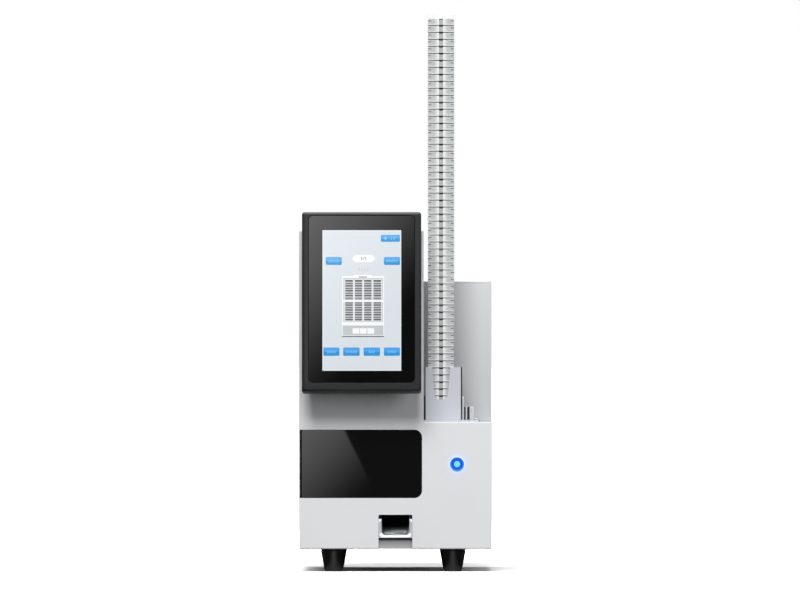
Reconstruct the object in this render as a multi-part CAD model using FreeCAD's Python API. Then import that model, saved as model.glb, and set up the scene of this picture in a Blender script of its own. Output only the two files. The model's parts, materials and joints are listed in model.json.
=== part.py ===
import FreeCAD, Part
import math
import os

# Histology cassette printer, in millimetres.
# X runs to the right, Y to the back, Z up. The origin lies on the floor under the middle of the box
# that holds the whole product. A depth d is measured back from the cabinet's front face.

V = FreeCAD.Vector

# Cabinet
CABINET_WIDTH = 212.0
CABINET_DEPTH = 380.0
RIGHT_WIDTH = 75.0
TOWER_TOP = 375.0
BLOCK_TOP = 319.5
STEP_TOP = 165.0
STEP_DEPTH = 100.0
FASCIA = 4.0
SHEET = 1.5
SEAM = 0.2
EDGE_ROUND = 1.6
TRAY_WALL = 10.4
REAR_REACH = 3.0

# Gaps
SEAT_GAP = 0.05
FACE_GAP = 0.1
FREE_GAP = 0.3
PRESS_GAP = 0.02
RUNNING_GAP = 0.08
PICK = 0.01

# Feet
FOOT_HEIGHT = 25.0
FOOT_TOP_RADIUS = 14.8
FOOT_FLOOR_RADIUS = 9.9
FOOT_SPREAD = 131.0
FOOT_SHIFT = -2.4
FOOT_INSET = 32.0

# Display
DISPLAY_WIDTH = 131.0
DISPLAY_HEIGHT = 198.6
DISPLAY_THICKNESS = 25.0
DISPLAY_TILT = 7.0
DISPLAY_SHIFT = 0.3
DISPLAY_Z = 295.8
DISPLAY_GAP = 4.0
DISPLAY_BEVEL = 2.5
DISPLAY_CORNER = 3.0
SHELL_ROUND = 2.6
BEZEL_DEPTH = 7.0
BEZEL_WALL = 2.2
GLASS_WIDTH = 116.6
GLASS_HEIGHT = 185.0
GLASS_RISE = 2.8
GLASS_THICKNESS = 1.2
GLASS_CORNER = 5.0
LCD_WIDTH = 97.0
LCD_HEIGHT = 164.0
LCD_THICKNESS = 4.5
BRACKET_WIDTH = 64.0
BRACKET_HEIGHT = 76.0
BRACKET_ROUND = 1.5

# Ribbon door
DOOR_MARGIN = 1.0
DOOR_SHORTFALL = 3.1
DOOR_BOTTOM = 81.5
DOOR_HEIGHT = 74.5
DOOR_CORNER = 8.0
DOOR_GAP = 0.35
HINGE_PIN_RADIUS = 0.8
HINGE_PIN_GRIP = 6.0
LATCH_WIDTH = 20.0
LATCH_DEPTH = 11.7
LATCH_HALF = 6.0
LATCH_DROP = 14.0
LATCH_PLUNGER = 2.5
LATCH_ROOT = 0.7
LATCH_SHARE = 0.4

# Push button
BUTTON_INSET = 38.2
BUTTON_Z = 118.5
BEZEL_RADIUS = 7.8
BEZEL_PROUD = 1.5
CAP_RADIUS = 4.9
CORE_RADIUS = 3.7
BARREL_RADIUS = 6.2
BARREL_LENGTH = 21.0
BARREL_BORE = 5.2
BUTTON_TRAVEL = 2.0
CAP_STEM = 8.0
NUT_RADIUS = 8.5
NUT_THICKNESS = 3.0
BEZEL_CHAMFER = 0.6
BARREL_FLOOR = 2.0
SPRING_WIRE = 0.35
SPRING_RADIUS = 3.2
SPRING_PITCH = 4.0

# Output chute and mouth
CHUTE_WIDTH = 36.6
CHUTE_WALL = 3.0
CHUTE_RISE = 20.6
CHUTE_LIFT = 12.4
CHUTE_STRAIGHT = 30.0
CHUTE_BEND = 45.0
CHUTE_SLOPE = 55.0
CHUTE_RAMP = 34.0
CHUTE_FILLET = 2.6
CHUTE_BACKSET = 0.5
MOUTH_WIDTH = 37.2
MOUTH_TOP = 62.8
MOUTH_CORNER = 1.6

# Cassettes, magazine sleeve and its holder
CASSETTE_WIDTH = 28.4
CASSETTE_LENGTH = 40.0
CASSETTE_PITCH = 7.7
CASSETTE_SPACE = 0.2
CASSETTE_COUNT = 65
CASSETTE_SLOT = 4.4
CASSETTE_SLOT_DEPTH = 1.2
CASSETTE_CORNER = 1.2
CASSETTE_FLOOR = 1.2
CASSETTE_RIM = 2.6
SLOT_FLOOR = 1.0
LABEL_SLOPE = 5.0
MAGAZINE_OFFSET = 19.2
MAGAZINE_INSET = 27.8
SLEEVE_WALL = 0.9
SLEEVE_CLEARANCE = 0.3
SLEEVE_SLOT = 14.0
SLEEVE_PROUD = 3.6
SLEEVE_ROOM = 0.4
OPENING_ROOM = 0.6
BASE_PLATE = 2.0
BASE_PLATE_INSET = 12.8
BASE_PLATE_FRONT = 18.0
BASE_PLATE_DEPTH = 62.0
HOLDER_HEIGHT = 58.0
HOLDER_FRONT = 3.0
HOLDER_SIDE = 2.0
HOLDER_RIGHT_ROOM = 6.5
HOLDER_BACK = 2.5
CUT_TOP_HALF = 10.2
CUT_LOW_HALF = 7.5
CUT_BOTTOM = 22.0
HOLDER_THIN_SIDE = 1.3
NOTCH_DEPTH = 2.5
NOTCHES = ((3.4, -38.4), (3.0, -31.8), (1.2, -25.6), (1.2, -14.4))
GUIDE_SETBACK = 4.0
GUIDE_DROP = 2.0
SENSOR_HEIGHT = 14.2
POST_HEIGHT = 25.6
POST_WIDTH = 2.0
POST_CAP = 0.8
POST_CAP_INSET = 0.3
SENSOR_FRONT = 26.0
POST_DEPTH = 8.0
SENSOR_DEPTH = 20.0
SENSOR_WIDTH = 1.5
BRACKET_THICKNESS = 1.6
BRACKET_DEPTH = 22.0
BRACKET_FOOT = 8.0
BRACKET_REACH = 13.4
CLAMP_DEPTH = 13.8
SLIDE_WIDTH = 2.4
CLAMP_WIDTH = 5.0
CLAMP_CHAMFER = 0.8
SENSOR_PLACES = (0.1, 2.3, 3.9, 5.7, 8.2)
GUIDE_WALL = 1.2
GUIDE_FLANGE = 7.5
GUIDE_EAR = 6.0
GUIDE_LIFT = 1.0
GUIDE_FRONT_INSET = 2.0

# Transport
DECK_TOP = 87.0
DECK_PLATE = 3.0
DECK_FRONT = 6.0
DECK_BACK = 92.0
DECK_MARGIN = 2.5
TRACK_END = 15.6
TRACK_PLATE = 2.0
TRACK_WALL = 2.0
TRACK_SLOT = 5.0
TRACK_LIFT = 21.5
TRACK_FRONT_INSET = 1.5
TRACK_BACK_REACH = 3.0
TRACK_FENCE = 6.0
TRACK_SLOT_INSET = 6.0
TRACK_MARGIN = 1.0
DROP_ROOM = 1.5
SHAFT_WAY = 6.0
PUSHER_GAP = 1.7
PUSHER_SET_BACK = 2.0
PUSHER_ROUND = 1.5
PUSHER_LIFT = 0.2
STEM_INSET = 9.0
STEM_LENGTH = 6.0
BELT_ROOM = 1.4
FEED_TRAVEL = 50.0
PUSHER_LENGTH = 36.0
PUSHER_HEIGHT = 6.4
PULLEY_RADIUS = 6.4
BELT_THICKNESS = 1.2
BELT_WIDTH = 6.0
PULLEY_WIDTH = 7.0
DRIVE_INSET = 18.0
IDLER_INSET = 9.0
SHAFT_RADIUS = 2.5
SHAFT_REACH = 12.0
PULLEY_FLANGE = 0.6
IDLER_HALF = 5.0
IDLER_GAP = 0.6
MOTOR_SIDE = 28.0
MOTOR_CHAMFER = 3.0
MOTOR_BORE_DEPTH = 9.0
MOTOR_LENGTH = 34.0
POST_RADIUS = 4.0
POST_INSET = 9.0

# Printing
RIBBON_BOTTOM = 109.2
RIBBON_BAND = 8.6
RIBBON_THICKNESS = 0.2
RIBBON_FRONT = 11.0
RIBBON_GAP = 0.5
GUIDE_RADIUS = 2.0
GUIDE_LEFT_INSET = 19.0
GUIDE_SPREAD = 36.0
GUIDE_POST_TOP = 3.0
SPOOL_FLANGE = 17.0
SPOOL_GAP = 0.2
SPOOL_NOTCH = 1.5
SUPPLY_TANGENT = 3.5
SPINDLE_BASE = 9.0
SPINDLE_BASE_TOP = 3.0
SPINDLE_SHANK = 6.5
SPINDLE_TIP = 4.0
FLANGE_THICKNESS = 1.0
SUPPLY_RADIUS = 15.0
TAKEUP_RADIUS = 11.0
SPOOL_BORE = 4.1
SUPPLY_INSET = 72.0
TAKEUP_INSET = 28.0
HEAD_WIDTH = 28.0
HEAD_HEIGHT = 16.0
HEAD_DEPTH = 6.0
HEAD_TRAVEL = 1.6
HEAD_ARM = 6.0
HEAD_GAP = 0.35
HEAD_BEVEL = 2.0
HEAD_BEVEL_HEIGHT = 6.0
HEAD_BRACKET_TOP = 5.0
HEAD_BRACKET_ROUND = 2.0
RIBBON_MOTOR_RADIUS = 12.0
RIBBON_MOTOR_LENGTH = 25.9

# Rear services
FAN_SIZE = 80.0
FAN_THICKNESS = 25.0
FAN_INSET = 61.0
FAN_Z = 215.0
FAN_HUB = 17.0
FAN_BLADES = 7
FAN_PITCH = 38.0
GRILLE_BAR = 4.0
GRILLE_SLOT = 4.0
GRILLE_MARGIN = 4.0
FAN_WALL = 2.0
FAN_BASE = 3.0
FAN_SPOKE_HALF = 2.0
FAN_PIN_RADIUS = 2.0
FAN_PIN_LENGTH = 9.0
FAN_CHAMFER = 3.0
BLADE_THICKNESS = 1.6
BLADE_ROOM = 3.5
BLADE_END = 2.0
HUB_REAR_ROOM = 2.5
HUB_FREE_ENDS = 6.5
SUPPLY_BOX = (95.0, 150.0, 42.0)
BOARD_SIZE = (150.0, 120.0, 1.6)
BOARD_STANDOFF = 8.0
BOARD_SETBACK = 40.0
BOARD_LIFT = 10.0
STANDOFF_INSET = 5.0
STANDOFF_HALF = 2.5
CHIPS = ((20, 60, 24, 24, 3), (70, 70, 16, 16, 2), (105, 20, 30, 14, 11), (20, 10, 40, 8, 9),
         (74, 12, 12, 30, 14))
SUPPLY_BOX_INSET = 8.0
SUPPLY_BOX_BACK = 50.0
TERMINAL_SHARE = 0.45
TERMINAL_STEP = 16.0
TERMINAL_PITCH = 11.0
TERMINAL_WIDTH = 8.0
TERMINAL_HEIGHT = 6.0
TERMINAL_COUNT = 7
INLET_INSET = 34.0
INLET_Z = 74.0
INLET_WIDTH = 31.0
INLET_HEIGHT = 48.0
INLET_DEPTH = 30.0
INLET_FLANGE = 4.0
INLET_CORNER = 2.0
SOCKET_WIDTH = 24.0
SOCKET_HEIGHT = 18.0
SOCKET_DEPTH = 16.0
SOCKET_CHAMFER = 4.0
SOCKET_LIFT = 1.0
BLADES = ((-7, 6), (7, 6), (0, 10))
BLADE_WIDTH = 2.0
BLADE_HEIGHT = 4.0
BLADE_TIP = 2.0
ROCKER_ROOM = 21.0
ROCKER_ROOM_HEIGHT = 16.0
ROCKER_ROOM_DEPTH = 14.0
ROCKER_ROOM_TOP = 3.0
ROCKER_DEPTH = 5.0
ROCKER_DROP = 11.0
ROCKER_WIDTH = 19.6
ROCKER_PIN = 1.5
ROCKER_PIN_HALF = 10.4
ROCKER_SWING = 16.0
PORT_Z = 132.0
PORT_SIZES = ((0.0, 12.0, 11.0), (16.0, 32.0, 13.5))
PORT_WALL = 1.2
PORT_DEPTH = 17.0
PORT_SOCKET_DEPTH = 10.0
PORT_PROUD = 0.4
CARD_MARGIN = 4.0
CARD_DEPTH = 34.0
CARD_THICKNESS = 1.6
TAB_HEIGHT = 12.0
VENT_COUNT = 9
VENT_WIDTH = 3.2
VENT_LENGTH = 34.0
VENT_PITCH = 8.0
VENT_BACK = 60.0
VENT_LIFT = 30.0

# Worked-out places
X_LEFT = -CABINET_WIDTH / 2
X_RIGHT = CABINET_WIDTH / 2
X_TOWER = X_RIGHT - RIGHT_WIDTH
DISPLAY_X = (X_LEFT + X_TOWER) / 2 + DISPLAY_SHIFT
DOOR_WIDTH = CABINET_WIDTH - RIGHT_WIDTH - DOOR_SHORTFALL
BASE_PLATE_RIGHT = X_RIGHT - BASE_PLATE_INSET
DRIVE_X = X_RIGHT - DRIVE_INSET
IDLER_X = X_TOWER - IDLER_INSET
GUIDE_LEFT_X = X_TOWER - GUIDE_LEFT_INSET
GUIDE_RIGHT_X = GUIDE_LEFT_X + GUIDE_SPREAD
SUPPLY_X = X_LEFT + SUPPLY_INSET
TAKEUP_X = X_LEFT + TAKEUP_INSET
FAN_X = X_RIGHT - FAN_INSET
INLET_X = X_LEFT + INLET_INSET
Z_BOTTOM = FOOT_HEIGHT
TILT = math.radians(DISPLAY_TILT)
HALF_RUN = DISPLAY_THICKNESS / 2 * math.cos(TILT)
BACK_REACH = HALF_RUN + DISPLAY_HEIGHT / 2 * math.sin(TILT)
FRONT_REACH = HALF_RUN + (DISPLAY_HEIGHT / 2 - DISPLAY_BEVEL) * math.sin(TILT)
DISPLAY_D = -(DISPLAY_GAP + BACK_REACH)
Y_FRONT = (FRONT_REACH - DISPLAY_D - CABINET_DEPTH - REAR_REACH) / 2
SHELL_FRONT = FASCIA + SEAM
MAGAZINE_X = X_TOWER + MAGAZINE_OFFSET
CASSETTE_FRONT = MAGAZINE_INSET + SLEEVE_WALL + SLEEVE_CLEARANCE
CASSETTE_BACK = CASSETTE_FRONT + CASSETTE_LENGTH
CASSETTE_MIDDLE = CASSETTE_FRONT + CASSETTE_LENGTH / 2
SLEEVE_WIDTH = CASSETTE_WIDTH + 2 * (SLEEVE_CLEARANCE + SLEEVE_WALL)
SLEEVE_BACK = CASSETTE_BACK + SLEEVE_CLEARANCE + SLEEVE_WALL
PLATE_TOP = STEP_TOP + BASE_PLATE
STACK_BOTTOM = DECK_TOP + TRACK_LIFT
TRACK_TOP = STACK_BOTTOM - FREE_GAP
STACK_TOP = STACK_BOTTOM + CASSETTE_COUNT * CASSETTE_PITCH
HOLDER_FRONT_FACE = MAGAZINE_INSET - SLEEVE_ROOM - HOLDER_FRONT
HOLDER_BACK_FACE = SLEEVE_BACK + SLEEVE_ROOM
HOLDER_LEFT = X_TOWER + SEAM
HOLDER_RIGHT = MAGAZINE_X + SLEEVE_WIDTH / 2 + HOLDER_RIGHT_ROOM
HOLDER_OUTER = HOLDER_RIGHT + HOLDER_THIN_SIDE
BUTTON_X = X_RIGHT - BUTTON_INSET
PUSHER_FRONT = MAGAZINE_X + CASSETTE_WIDTH / 2 + PUSHER_GAP
CHUTE_X = MAGAZINE_X - FEED_TRAVEL - SEAM
CHUTE_BOTTOM = Z_BOTTOM + CHUTE_LIFT
TRACK_RIGHT = X_RIGHT - SHEET - TRACK_MARGIN
PULLEY_Z = TRACK_TOP - TRACK_PLATE - BELT_ROOM - BELT_THICKNESS - PULLEY_RADIUS
RIBBON_REAR = CASSETTE_FRONT - RIBBON_GAP
GUIDE_REAR_D = RIBBON_REAR - GUIDE_RADIUS
SUPPLY_D = RIBBON_REAR - SUPPLY_TANGENT + SUPPLY_RADIUS + FREE_GAP
TAKEUP_D = RIBBON_FRONT + RIBBON_THICKNESS + FREE_GAP + TAKEUP_RADIUS
SPOOL_BOTTOM = RIBBON_BOTTOM - FLANGE_THICKNESS - SPOOL_GAP
SPOOL_TOP = RIBBON_BOTTOM + RIBBON_BAND + FLANGE_THICKNESS + SPOOL_GAP


def slab(x0, x1, d0, d1, z0, z1):
    """A block between two sides, two depths and two heights."""
    return Part.makeBox(x1 - x0, d1 - d0, z1 - z0, V(x0, Y_FRONT + d0, z0))


def rod_x(d, z, radius, x0, x1):
    """A round bar along X."""
    return Part.makeCylinder(radius, x1 - x0, V(x0, Y_FRONT + d, z), V(1, 0, 0))


def rod_y(x, z, radius, d0, d1):
    """A round bar along Y."""
    return Part.makeCylinder(radius, d1 - d0, V(x, Y_FRONT + d0, z), V(0, 1, 0))


def rod_z(x, d, radius, z0, z1):
    """An upright round bar."""
    return Part.makeCylinder(radius, z1 - z0, V(x, Y_FRONT + d, z0), V(0, 0, 1))


def prism_x(outline, x0, x1):
    """An outline of (depth, height) points carried along X."""
    points = [V(x0, Y_FRONT + d, z) for d, z in outline]
    return Part.Face(Part.makePolygon(points + points[:1])).extrude(V(x1 - x0, 0, 0))


def prism_y(outline, d0, d1):
    """An outline of (x, height) points carried along Y."""
    points = [V(x, Y_FRONT + d0, z) for x, z in outline]
    return Part.Face(Part.makePolygon(points + points[:1])).extrude(V(0, d1 - d0, 0))


def prism_z(outline, z0, z1):
    """An outline of (x, depth) points carried upwards."""
    points = [V(x, Y_FRONT + d, z0) for x, d in outline]
    return Part.Face(Part.makePolygon(points + points[:1])).extrude(V(0, 0, z1 - z0))


def edges_along(shape, direction, keep=None):
    """The straight edges of a shape that run along a direction, and pass a test of their middle."""
    found = []
    for edge in shape.Edges:
        straight = isinstance(edge.Curve, Part.Line)
        if not straight or abs(edge.tangentAt(edge.FirstParameter).dot(direction)) < 0.999:
            continue
        if keep is None or keep(edge.CenterOfMass):
            found.append(edge)
    return found


def hex_post(x, d, radius, z0, z1):
    """An upright six-sided spacer, measured across its corners."""
    corners = [(x + radius * math.cos(math.tau * i / 6), d + radius * math.sin(math.tau * i / 6))
               for i in range(6)]
    return prism_z(corners, z0, z1)


def group(shapes):
    """Separate solids that share one node."""
    solids = []
    for shape in shapes:
        solids.extend(shape.Solids)
    return Part.makeCompound(solids)


# Cabinet


def door_outline(grow, d0, d1):
    """The door's outline, square at the hinge and round at the free corners, grown all round."""
    left = X_LEFT + DOOR_MARGIN - grow
    right = X_LEFT + DOOR_MARGIN + DOOR_WIDTH + grow
    block = slab(left, right, d0, d1, DOOR_BOTTOM - grow, DOOR_BOTTOM + DOOR_HEIGHT + grow)
    corners = edges_along(block, V(0, 1, 0), lambda middle: middle.x > right - 1)
    return block.makeFillet(DOOR_CORNER + grow, corners)


def hinge_pins(gap):
    """The two upright pins at the door's square end, grown by a gap."""
    x = X_LEFT + DOOR_MARGIN + FASCIA / 2
    radius = HINGE_PIN_RADIUS + gap
    top = DOOR_BOTTOM + DOOR_HEIGHT
    lower = rod_z(x, FASCIA / 2, radius, DOOR_BOTTOM - HINGE_PIN_GRIP, DOOR_BOTTOM + HINGE_PIN_GRIP)
    upper = rod_z(x, FASCIA / 2, radius, top - HINGE_PIN_GRIP, top + HINGE_PIN_GRIP)
    return [lower, upper]


def front_fascia():
    """The L-shaped front, with its door opening, button hole and output mouth."""
    outline = [(X_LEFT, Z_BOTTOM), (X_RIGHT, Z_BOTTOM), (X_RIGHT, STEP_TOP),
               (X_TOWER, STEP_TOP), (X_TOWER, TOWER_TOP), (X_LEFT, TOWER_TOP)]
    face = prism_y(outline, 0, FASCIA)
    rims = [edge for edge in face.Edges if abs(edge.CenterOfMass.y - Y_FRONT) < PICK]
    face = face.makeFillet(EDGE_ROUND, rims)
    half = MOUTH_WIDTH / 2
    mouth = slab(CHUTE_X - half, CHUTE_X + half, -1, FASCIA + 1, Z_BOTTOM - 1, MOUTH_TOP)
    corners = edges_along(mouth, V(0, 1, 0), lambda middle: middle.z > MOUTH_TOP - 1)
    mouth = mouth.makeFillet(MOUTH_CORNER, corners)
    hole = rod_y(BUTTON_X, BUTTON_Z, BARREL_RADIUS + RUNNING_GAP, -1, FASCIA + 1)
    return face.cut([door_outline(DOOR_GAP, -1, FASCIA + 1), mouth, hole] + hinge_pins(PRESS_GAP))


def base_tray():
    """The open tray under everything, its front wall showing under the chute."""
    x0 = X_LEFT + SHEET + SEAM
    x1 = X_RIGHT - SHEET - SEAM
    back = CABINET_DEPTH - SHEET - SEAM
    tray = slab(x0, x1, SHELL_FRONT, back, Z_BOTTOM, Z_BOTTOM + TRAY_WALL)
    room = slab(x0 + SHEET, x1 - SHEET, SHELL_FRONT + SHEET, back - SHEET,
                Z_BOTTOM + SHEET, Z_BOTTOM + TRAY_WALL + 1)
    return tray.cut(room)


def side_vents(x0, x1):
    """The row of upright air slots low in a side cover."""
    start = CABINET_DEPTH - VENT_BACK - (VENT_COUNT - 1) * VENT_PITCH
    low = Z_BOTTOM + VENT_LIFT
    return [slab(x0, x1, start + i * VENT_PITCH, start + i * VENT_PITCH + VENT_WIDTH, low, low + VENT_LENGTH)
            for i in range(VENT_COUNT)]


def side_cover(x0, front_top):
    """A side cover sheet, as high as the front part and then as the rear block."""
    back = CABINET_DEPTH - SHEET - SEAM
    low_top = BLOCK_TOP - SHEET - SEAM
    step = STEP_DEPTH if front_top > low_top else STEP_DEPTH + SHEET + SEAM
    outline = [(SHELL_FRONT, Z_BOTTOM), (back, Z_BOTTOM), (back, low_top), (step, low_top),
               (step, front_top), (SHELL_FRONT, front_top)]
    sheet = prism_x(outline, x0, x0 + SHEET)
    return sheet.cut(side_vents(x0 - 1, x0 + SHEET + 1))


def left_side_cover():
    return side_cover(X_LEFT, TOWER_TOP - SHEET - SEAM)


def right_side_cover():
    return side_cover(X_RIGHT - SHEET, STEP_TOP - SHEET - SEAM)


def stack_opening(z0, z1):
    """The way through which cassettes drop from the magazine to the track."""
    half = CASSETTE_WIDTH / 2 + OPENING_ROOM
    return slab(MAGAZINE_X - half, MAGAZINE_X + half, CASSETTE_FRONT - OPENING_ROOM,
                CASSETTE_BACK + OPENING_ROOM, z0, z1)


def step_deck():
    """The sheet on top of the low right part."""
    deck = slab(X_TOWER, X_RIGHT, SHELL_FRONT, STEP_DEPTH, STEP_TOP - SHEET, STEP_TOP)
    return deck.cut(stack_opening(STEP_TOP - SHEET - 1, STEP_TOP + 1))


def inner_corner_panel():
    """The bent sheet that closes the tower's right side and the rear block's front."""
    low = STEP_TOP + SEAM
    high = BLOCK_TOP - SHEET - SEAM
    tower = slab(X_TOWER - SHEET, X_TOWER, SHELL_FRONT, STEP_DEPTH - SHEET - SEAM,
                 low, TOWER_TOP - SHEET - SEAM)
    bend = slab(X_TOWER - SHEET, X_TOWER, STEP_DEPTH - SHEET - SEAM, STEP_DEPTH + SHEET, low, high)
    wall = slab(X_TOWER - SHEET, X_RIGHT, STEP_DEPTH, STEP_DEPTH + SHEET, low, high)
    return tower.fuse([bend, wall]).removeSplitter()


def tower_cap():
    """The tower's top sheet, bent down behind to the rear block."""
    top = slab(X_LEFT, X_TOWER, SHELL_FRONT, STEP_DEPTH, TOWER_TOP - SHEET, TOWER_TOP)
    inner_left = X_LEFT + SHEET + SEAM
    inner_right = X_TOWER - SHEET - SEAM
    back = slab(inner_left, inner_right, STEP_DEPTH - SHEET, STEP_DEPTH, BLOCK_TOP - 8, TOWER_TOP - SHEET)
    cap = top.fuse(back)
    rear_edge = edges_along(cap, V(1, 0, 0),
                            lambda m: m.z > TOWER_TOP - PICK and m.y > Y_FRONT + STEP_DEPTH - PICK)
    return cap.makeFillet(SHEET * 0.9, rear_edge)


def top_cover():
    """The rear block's top sheet."""
    sheet = slab(X_LEFT, X_RIGHT, STEP_DEPTH + SEAM, CABINET_DEPTH, BLOCK_TOP - SHEET, BLOCK_TOP)
    rear_edge = edges_along(sheet, V(1, 0, 0),
                            lambda m: m.z > BLOCK_TOP - PICK and m.y > Y_FRONT + CABINET_DEPTH - PICK)
    return sheet.makeFillet(SHEET * 0.9, rear_edge)


def fan_slots():
    """The fan grille's upright slots, each as long as its chord of the fan's circle."""
    radius = FAN_SIZE / 2 - GRILLE_MARGIN
    pitch = GRILLE_BAR + GRILLE_SLOT
    count = int(radius / pitch)
    slots = []
    for i in range(-count, count + 1):
        half = math.sqrt(radius ** 2 - (i * pitch) ** 2)
        x0 = FAN_X + i * pitch - GRILLE_SLOT / 2
        slots.append(slab(x0, x0 + GRILLE_SLOT, CABINET_DEPTH - SHEET - 1, CABINET_DEPTH + 1,
                          FAN_Z - half, FAN_Z + half))
    return slots


def rear_panel():
    """The back sheet, with the fan grille and the holes of the inlet and the ports."""
    d0 = CABINET_DEPTH - SHEET
    sheet = slab(X_LEFT, X_RIGHT, d0, CABINET_DEPTH, Z_BOTTOM, BLOCK_TOP - SHEET - SEAM)
    inlet = slab(INLET_X - INLET_WIDTH / 2 - SEAM, INLET_X + INLET_WIDTH / 2 + SEAM, d0 - 1,
                 CABINET_DEPTH + 1, INLET_Z - INLET_HEIGHT / 2 - SEAM, INLET_Z + INLET_HEIGHT / 2 + SEAM)
    ports = [slab(x0 - SEAM, x1 + SEAM, d0 - 1, CABINET_DEPTH + 1, PORT_Z - SEAM, PORT_Z + high + SEAM)
             for x0, x1, high in port_places()]
    return sheet.cut([inlet] + ports + fan_slots())


def foot(x, d):
    """A tapered rubber foot, turned about its own axis."""
    outline = [V(0, 0, 0), V(FOOT_FLOOR_RADIUS, 0, 0), V(FOOT_TOP_RADIUS, 0, FOOT_HEIGHT),
               V(0, 0, FOOT_HEIGHT), V(0, 0, 0)]
    turned = Part.Face(Part.makePolygon(outline)).revolve(V(0, 0, 0), V(0, 0, 1), 360)
    turned.translate(V(x, Y_FRONT + d, 0))
    return turned


def rubber_feet():
    """Four feet in two rows."""
    return group([foot(FOOT_SHIFT + side * FOOT_SPREAD / 2, d)
                  for side in (-1, 1) for d in (FOOT_INSET, CABINET_DEPTH - FOOT_INSET)])


# Display, made upright about its own middle and then leaned back


def display_block(width, height, y0, y1, rise=0.0):
    """A block in the display's own frame, whose front is at minus half the thickness."""
    return Part.makeBox(width, y1 - y0, height, V(-width / 2, y0, rise - height / 2))


def lean(shape):
    """Tilt a display piece and set it in its place."""
    shape.rotate(V(0, 0, 0), V(1, 0, 0), -DISPLAY_TILT)
    shape.translate(V(DISPLAY_X, Y_FRONT + DISPLAY_D, DISPLAY_Z))
    return shape


def glass_blank(grow, y0, y1):
    """The glass outline with its round corners, grown all round."""
    block = display_block(GLASS_WIDTH + 2 * grow, GLASS_HEIGHT + 2 * grow, y0, y1, GLASS_RISE)
    return block.makeFillet(GLASS_CORNER + grow, edges_along(block, V(0, 1, 0)))


def display_bezel():
    """The front frame with bevelled outer edges and the rebate of the glass."""
    front = -DISPLAY_THICKNESS / 2
    block = display_block(DISPLAY_WIDTH, DISPLAY_HEIGHT, front, front + BEZEL_DEPTH)
    block = block.makeFillet(DISPLAY_CORNER, edges_along(block, V(0, 1, 0)))
    rims = [edge for edge in block.Edges if abs(edge.CenterOfMass.y - front) < PICK]
    block = block.makeChamfer(DISPLAY_BEVEL, rims)
    rebate = glass_blank(SEAM, front - 1, front + GLASS_THICKNESS + SEAM)
    window = display_block(LCD_WIDTH + 2 * SEAM, LCD_HEIGHT + 2 * SEAM, front, front + BEZEL_DEPTH + 1,
                           GLASS_RISE)
    return lean(block.cut([rebate, window]))


def display_glass():
    front = -DISPLAY_THICKNESS / 2
    return lean(glass_blank(0, front + SEAT_GAP, front + SEAT_GAP + GLASS_THICKNESS))


def display_lcd():
    """The panel behind the glass, held by the bezel's window."""
    front = -DISPLAY_THICKNESS / 2 + GLASS_THICKNESS + 2 * SEAM
    return lean(display_block(LCD_WIDTH, LCD_HEIGHT, front, front + LCD_THICKNESS, GLASS_RISE))


def display_back_shell():
    """The rear housing, rounded behind and open to the bezel."""
    y0 = -DISPLAY_THICKNESS / 2 + BEZEL_DEPTH + FACE_GAP
    y1 = DISPLAY_THICKNESS / 2
    shell = display_block(DISPLAY_WIDTH, DISPLAY_HEIGHT, y0, y1)
    shell = shell.makeFillet(DISPLAY_CORNER, edges_along(shell, V(0, 1, 0)))
    rims = [edge for edge in shell.Edges if abs(edge.CenterOfMass.y - y1) < PICK]
    shell = shell.makeFillet(SHELL_ROUND, rims)
    wall = 2 * BEZEL_WALL
    room = display_block(DISPLAY_WIDTH - wall, DISPLAY_HEIGHT - wall, y0 - 1, y1 - BEZEL_WALL)
    return lean(shell.cut(room))


def display_point(rise):
    """Depth and height of a point on the display's back plane, a rise above its middle."""
    back = DISPLAY_THICKNESS / 2 + FACE_GAP
    d = DISPLAY_D + back * math.cos(TILT) + rise * math.sin(TILT)
    z = DISPLAY_Z - back * math.sin(TILT) + rise * math.cos(TILT)
    return d, z


def display_bracket():
    """The wedge between the tower and the display's back."""
    low = display_point(-BRACKET_HEIGHT / 2)
    high = display_point(BRACKET_HEIGHT / 2)
    outline = [low, high, (-FACE_GAP, high[1]), (-FACE_GAP, low[1])]
    half = BRACKET_WIDTH / 2
    wedge = prism_x(outline, DISPLAY_X - half, DISPLAY_X + half)
    return wedge.makeFillet(BRACKET_ROUND, edges_along(wedge, V(0, 1, 0)))


# Ribbon door


def ribbon_door():
    """The glossy door: flat plate with round free corners and a barrel at the hinge."""
    axis_x = X_LEFT + DOOR_MARGIN + FASCIA / 2
    plate = door_outline(0, 0, FASCIA)
    end = slab(X_LEFT - 1, axis_x, -1, FASCIA + 1, DOOR_BOTTOM - 1, DOOR_BOTTOM + DOOR_HEIGHT + 1)
    barrel = rod_z(axis_x, FASCIA / 2, FASCIA / 2, DOOR_BOTTOM, DOOR_BOTTOM + DOOR_HEIGHT)
    return plate.cut(end).fuse(barrel).cut(hinge_pins(RUNNING_GAP)).removeSplitter()


def door_hinge_pins():
    grip = HINGE_PIN_GRIP - SEAM
    x = X_LEFT + DOOR_MARGIN + FASCIA / 2
    top = DOOR_BOTTOM + DOOR_HEIGHT
    return group([rod_z(x, FASCIA / 2, HINGE_PIN_RADIUS, z - grip, z + grip) for z in (DOOR_BOTTOM, top)])


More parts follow.
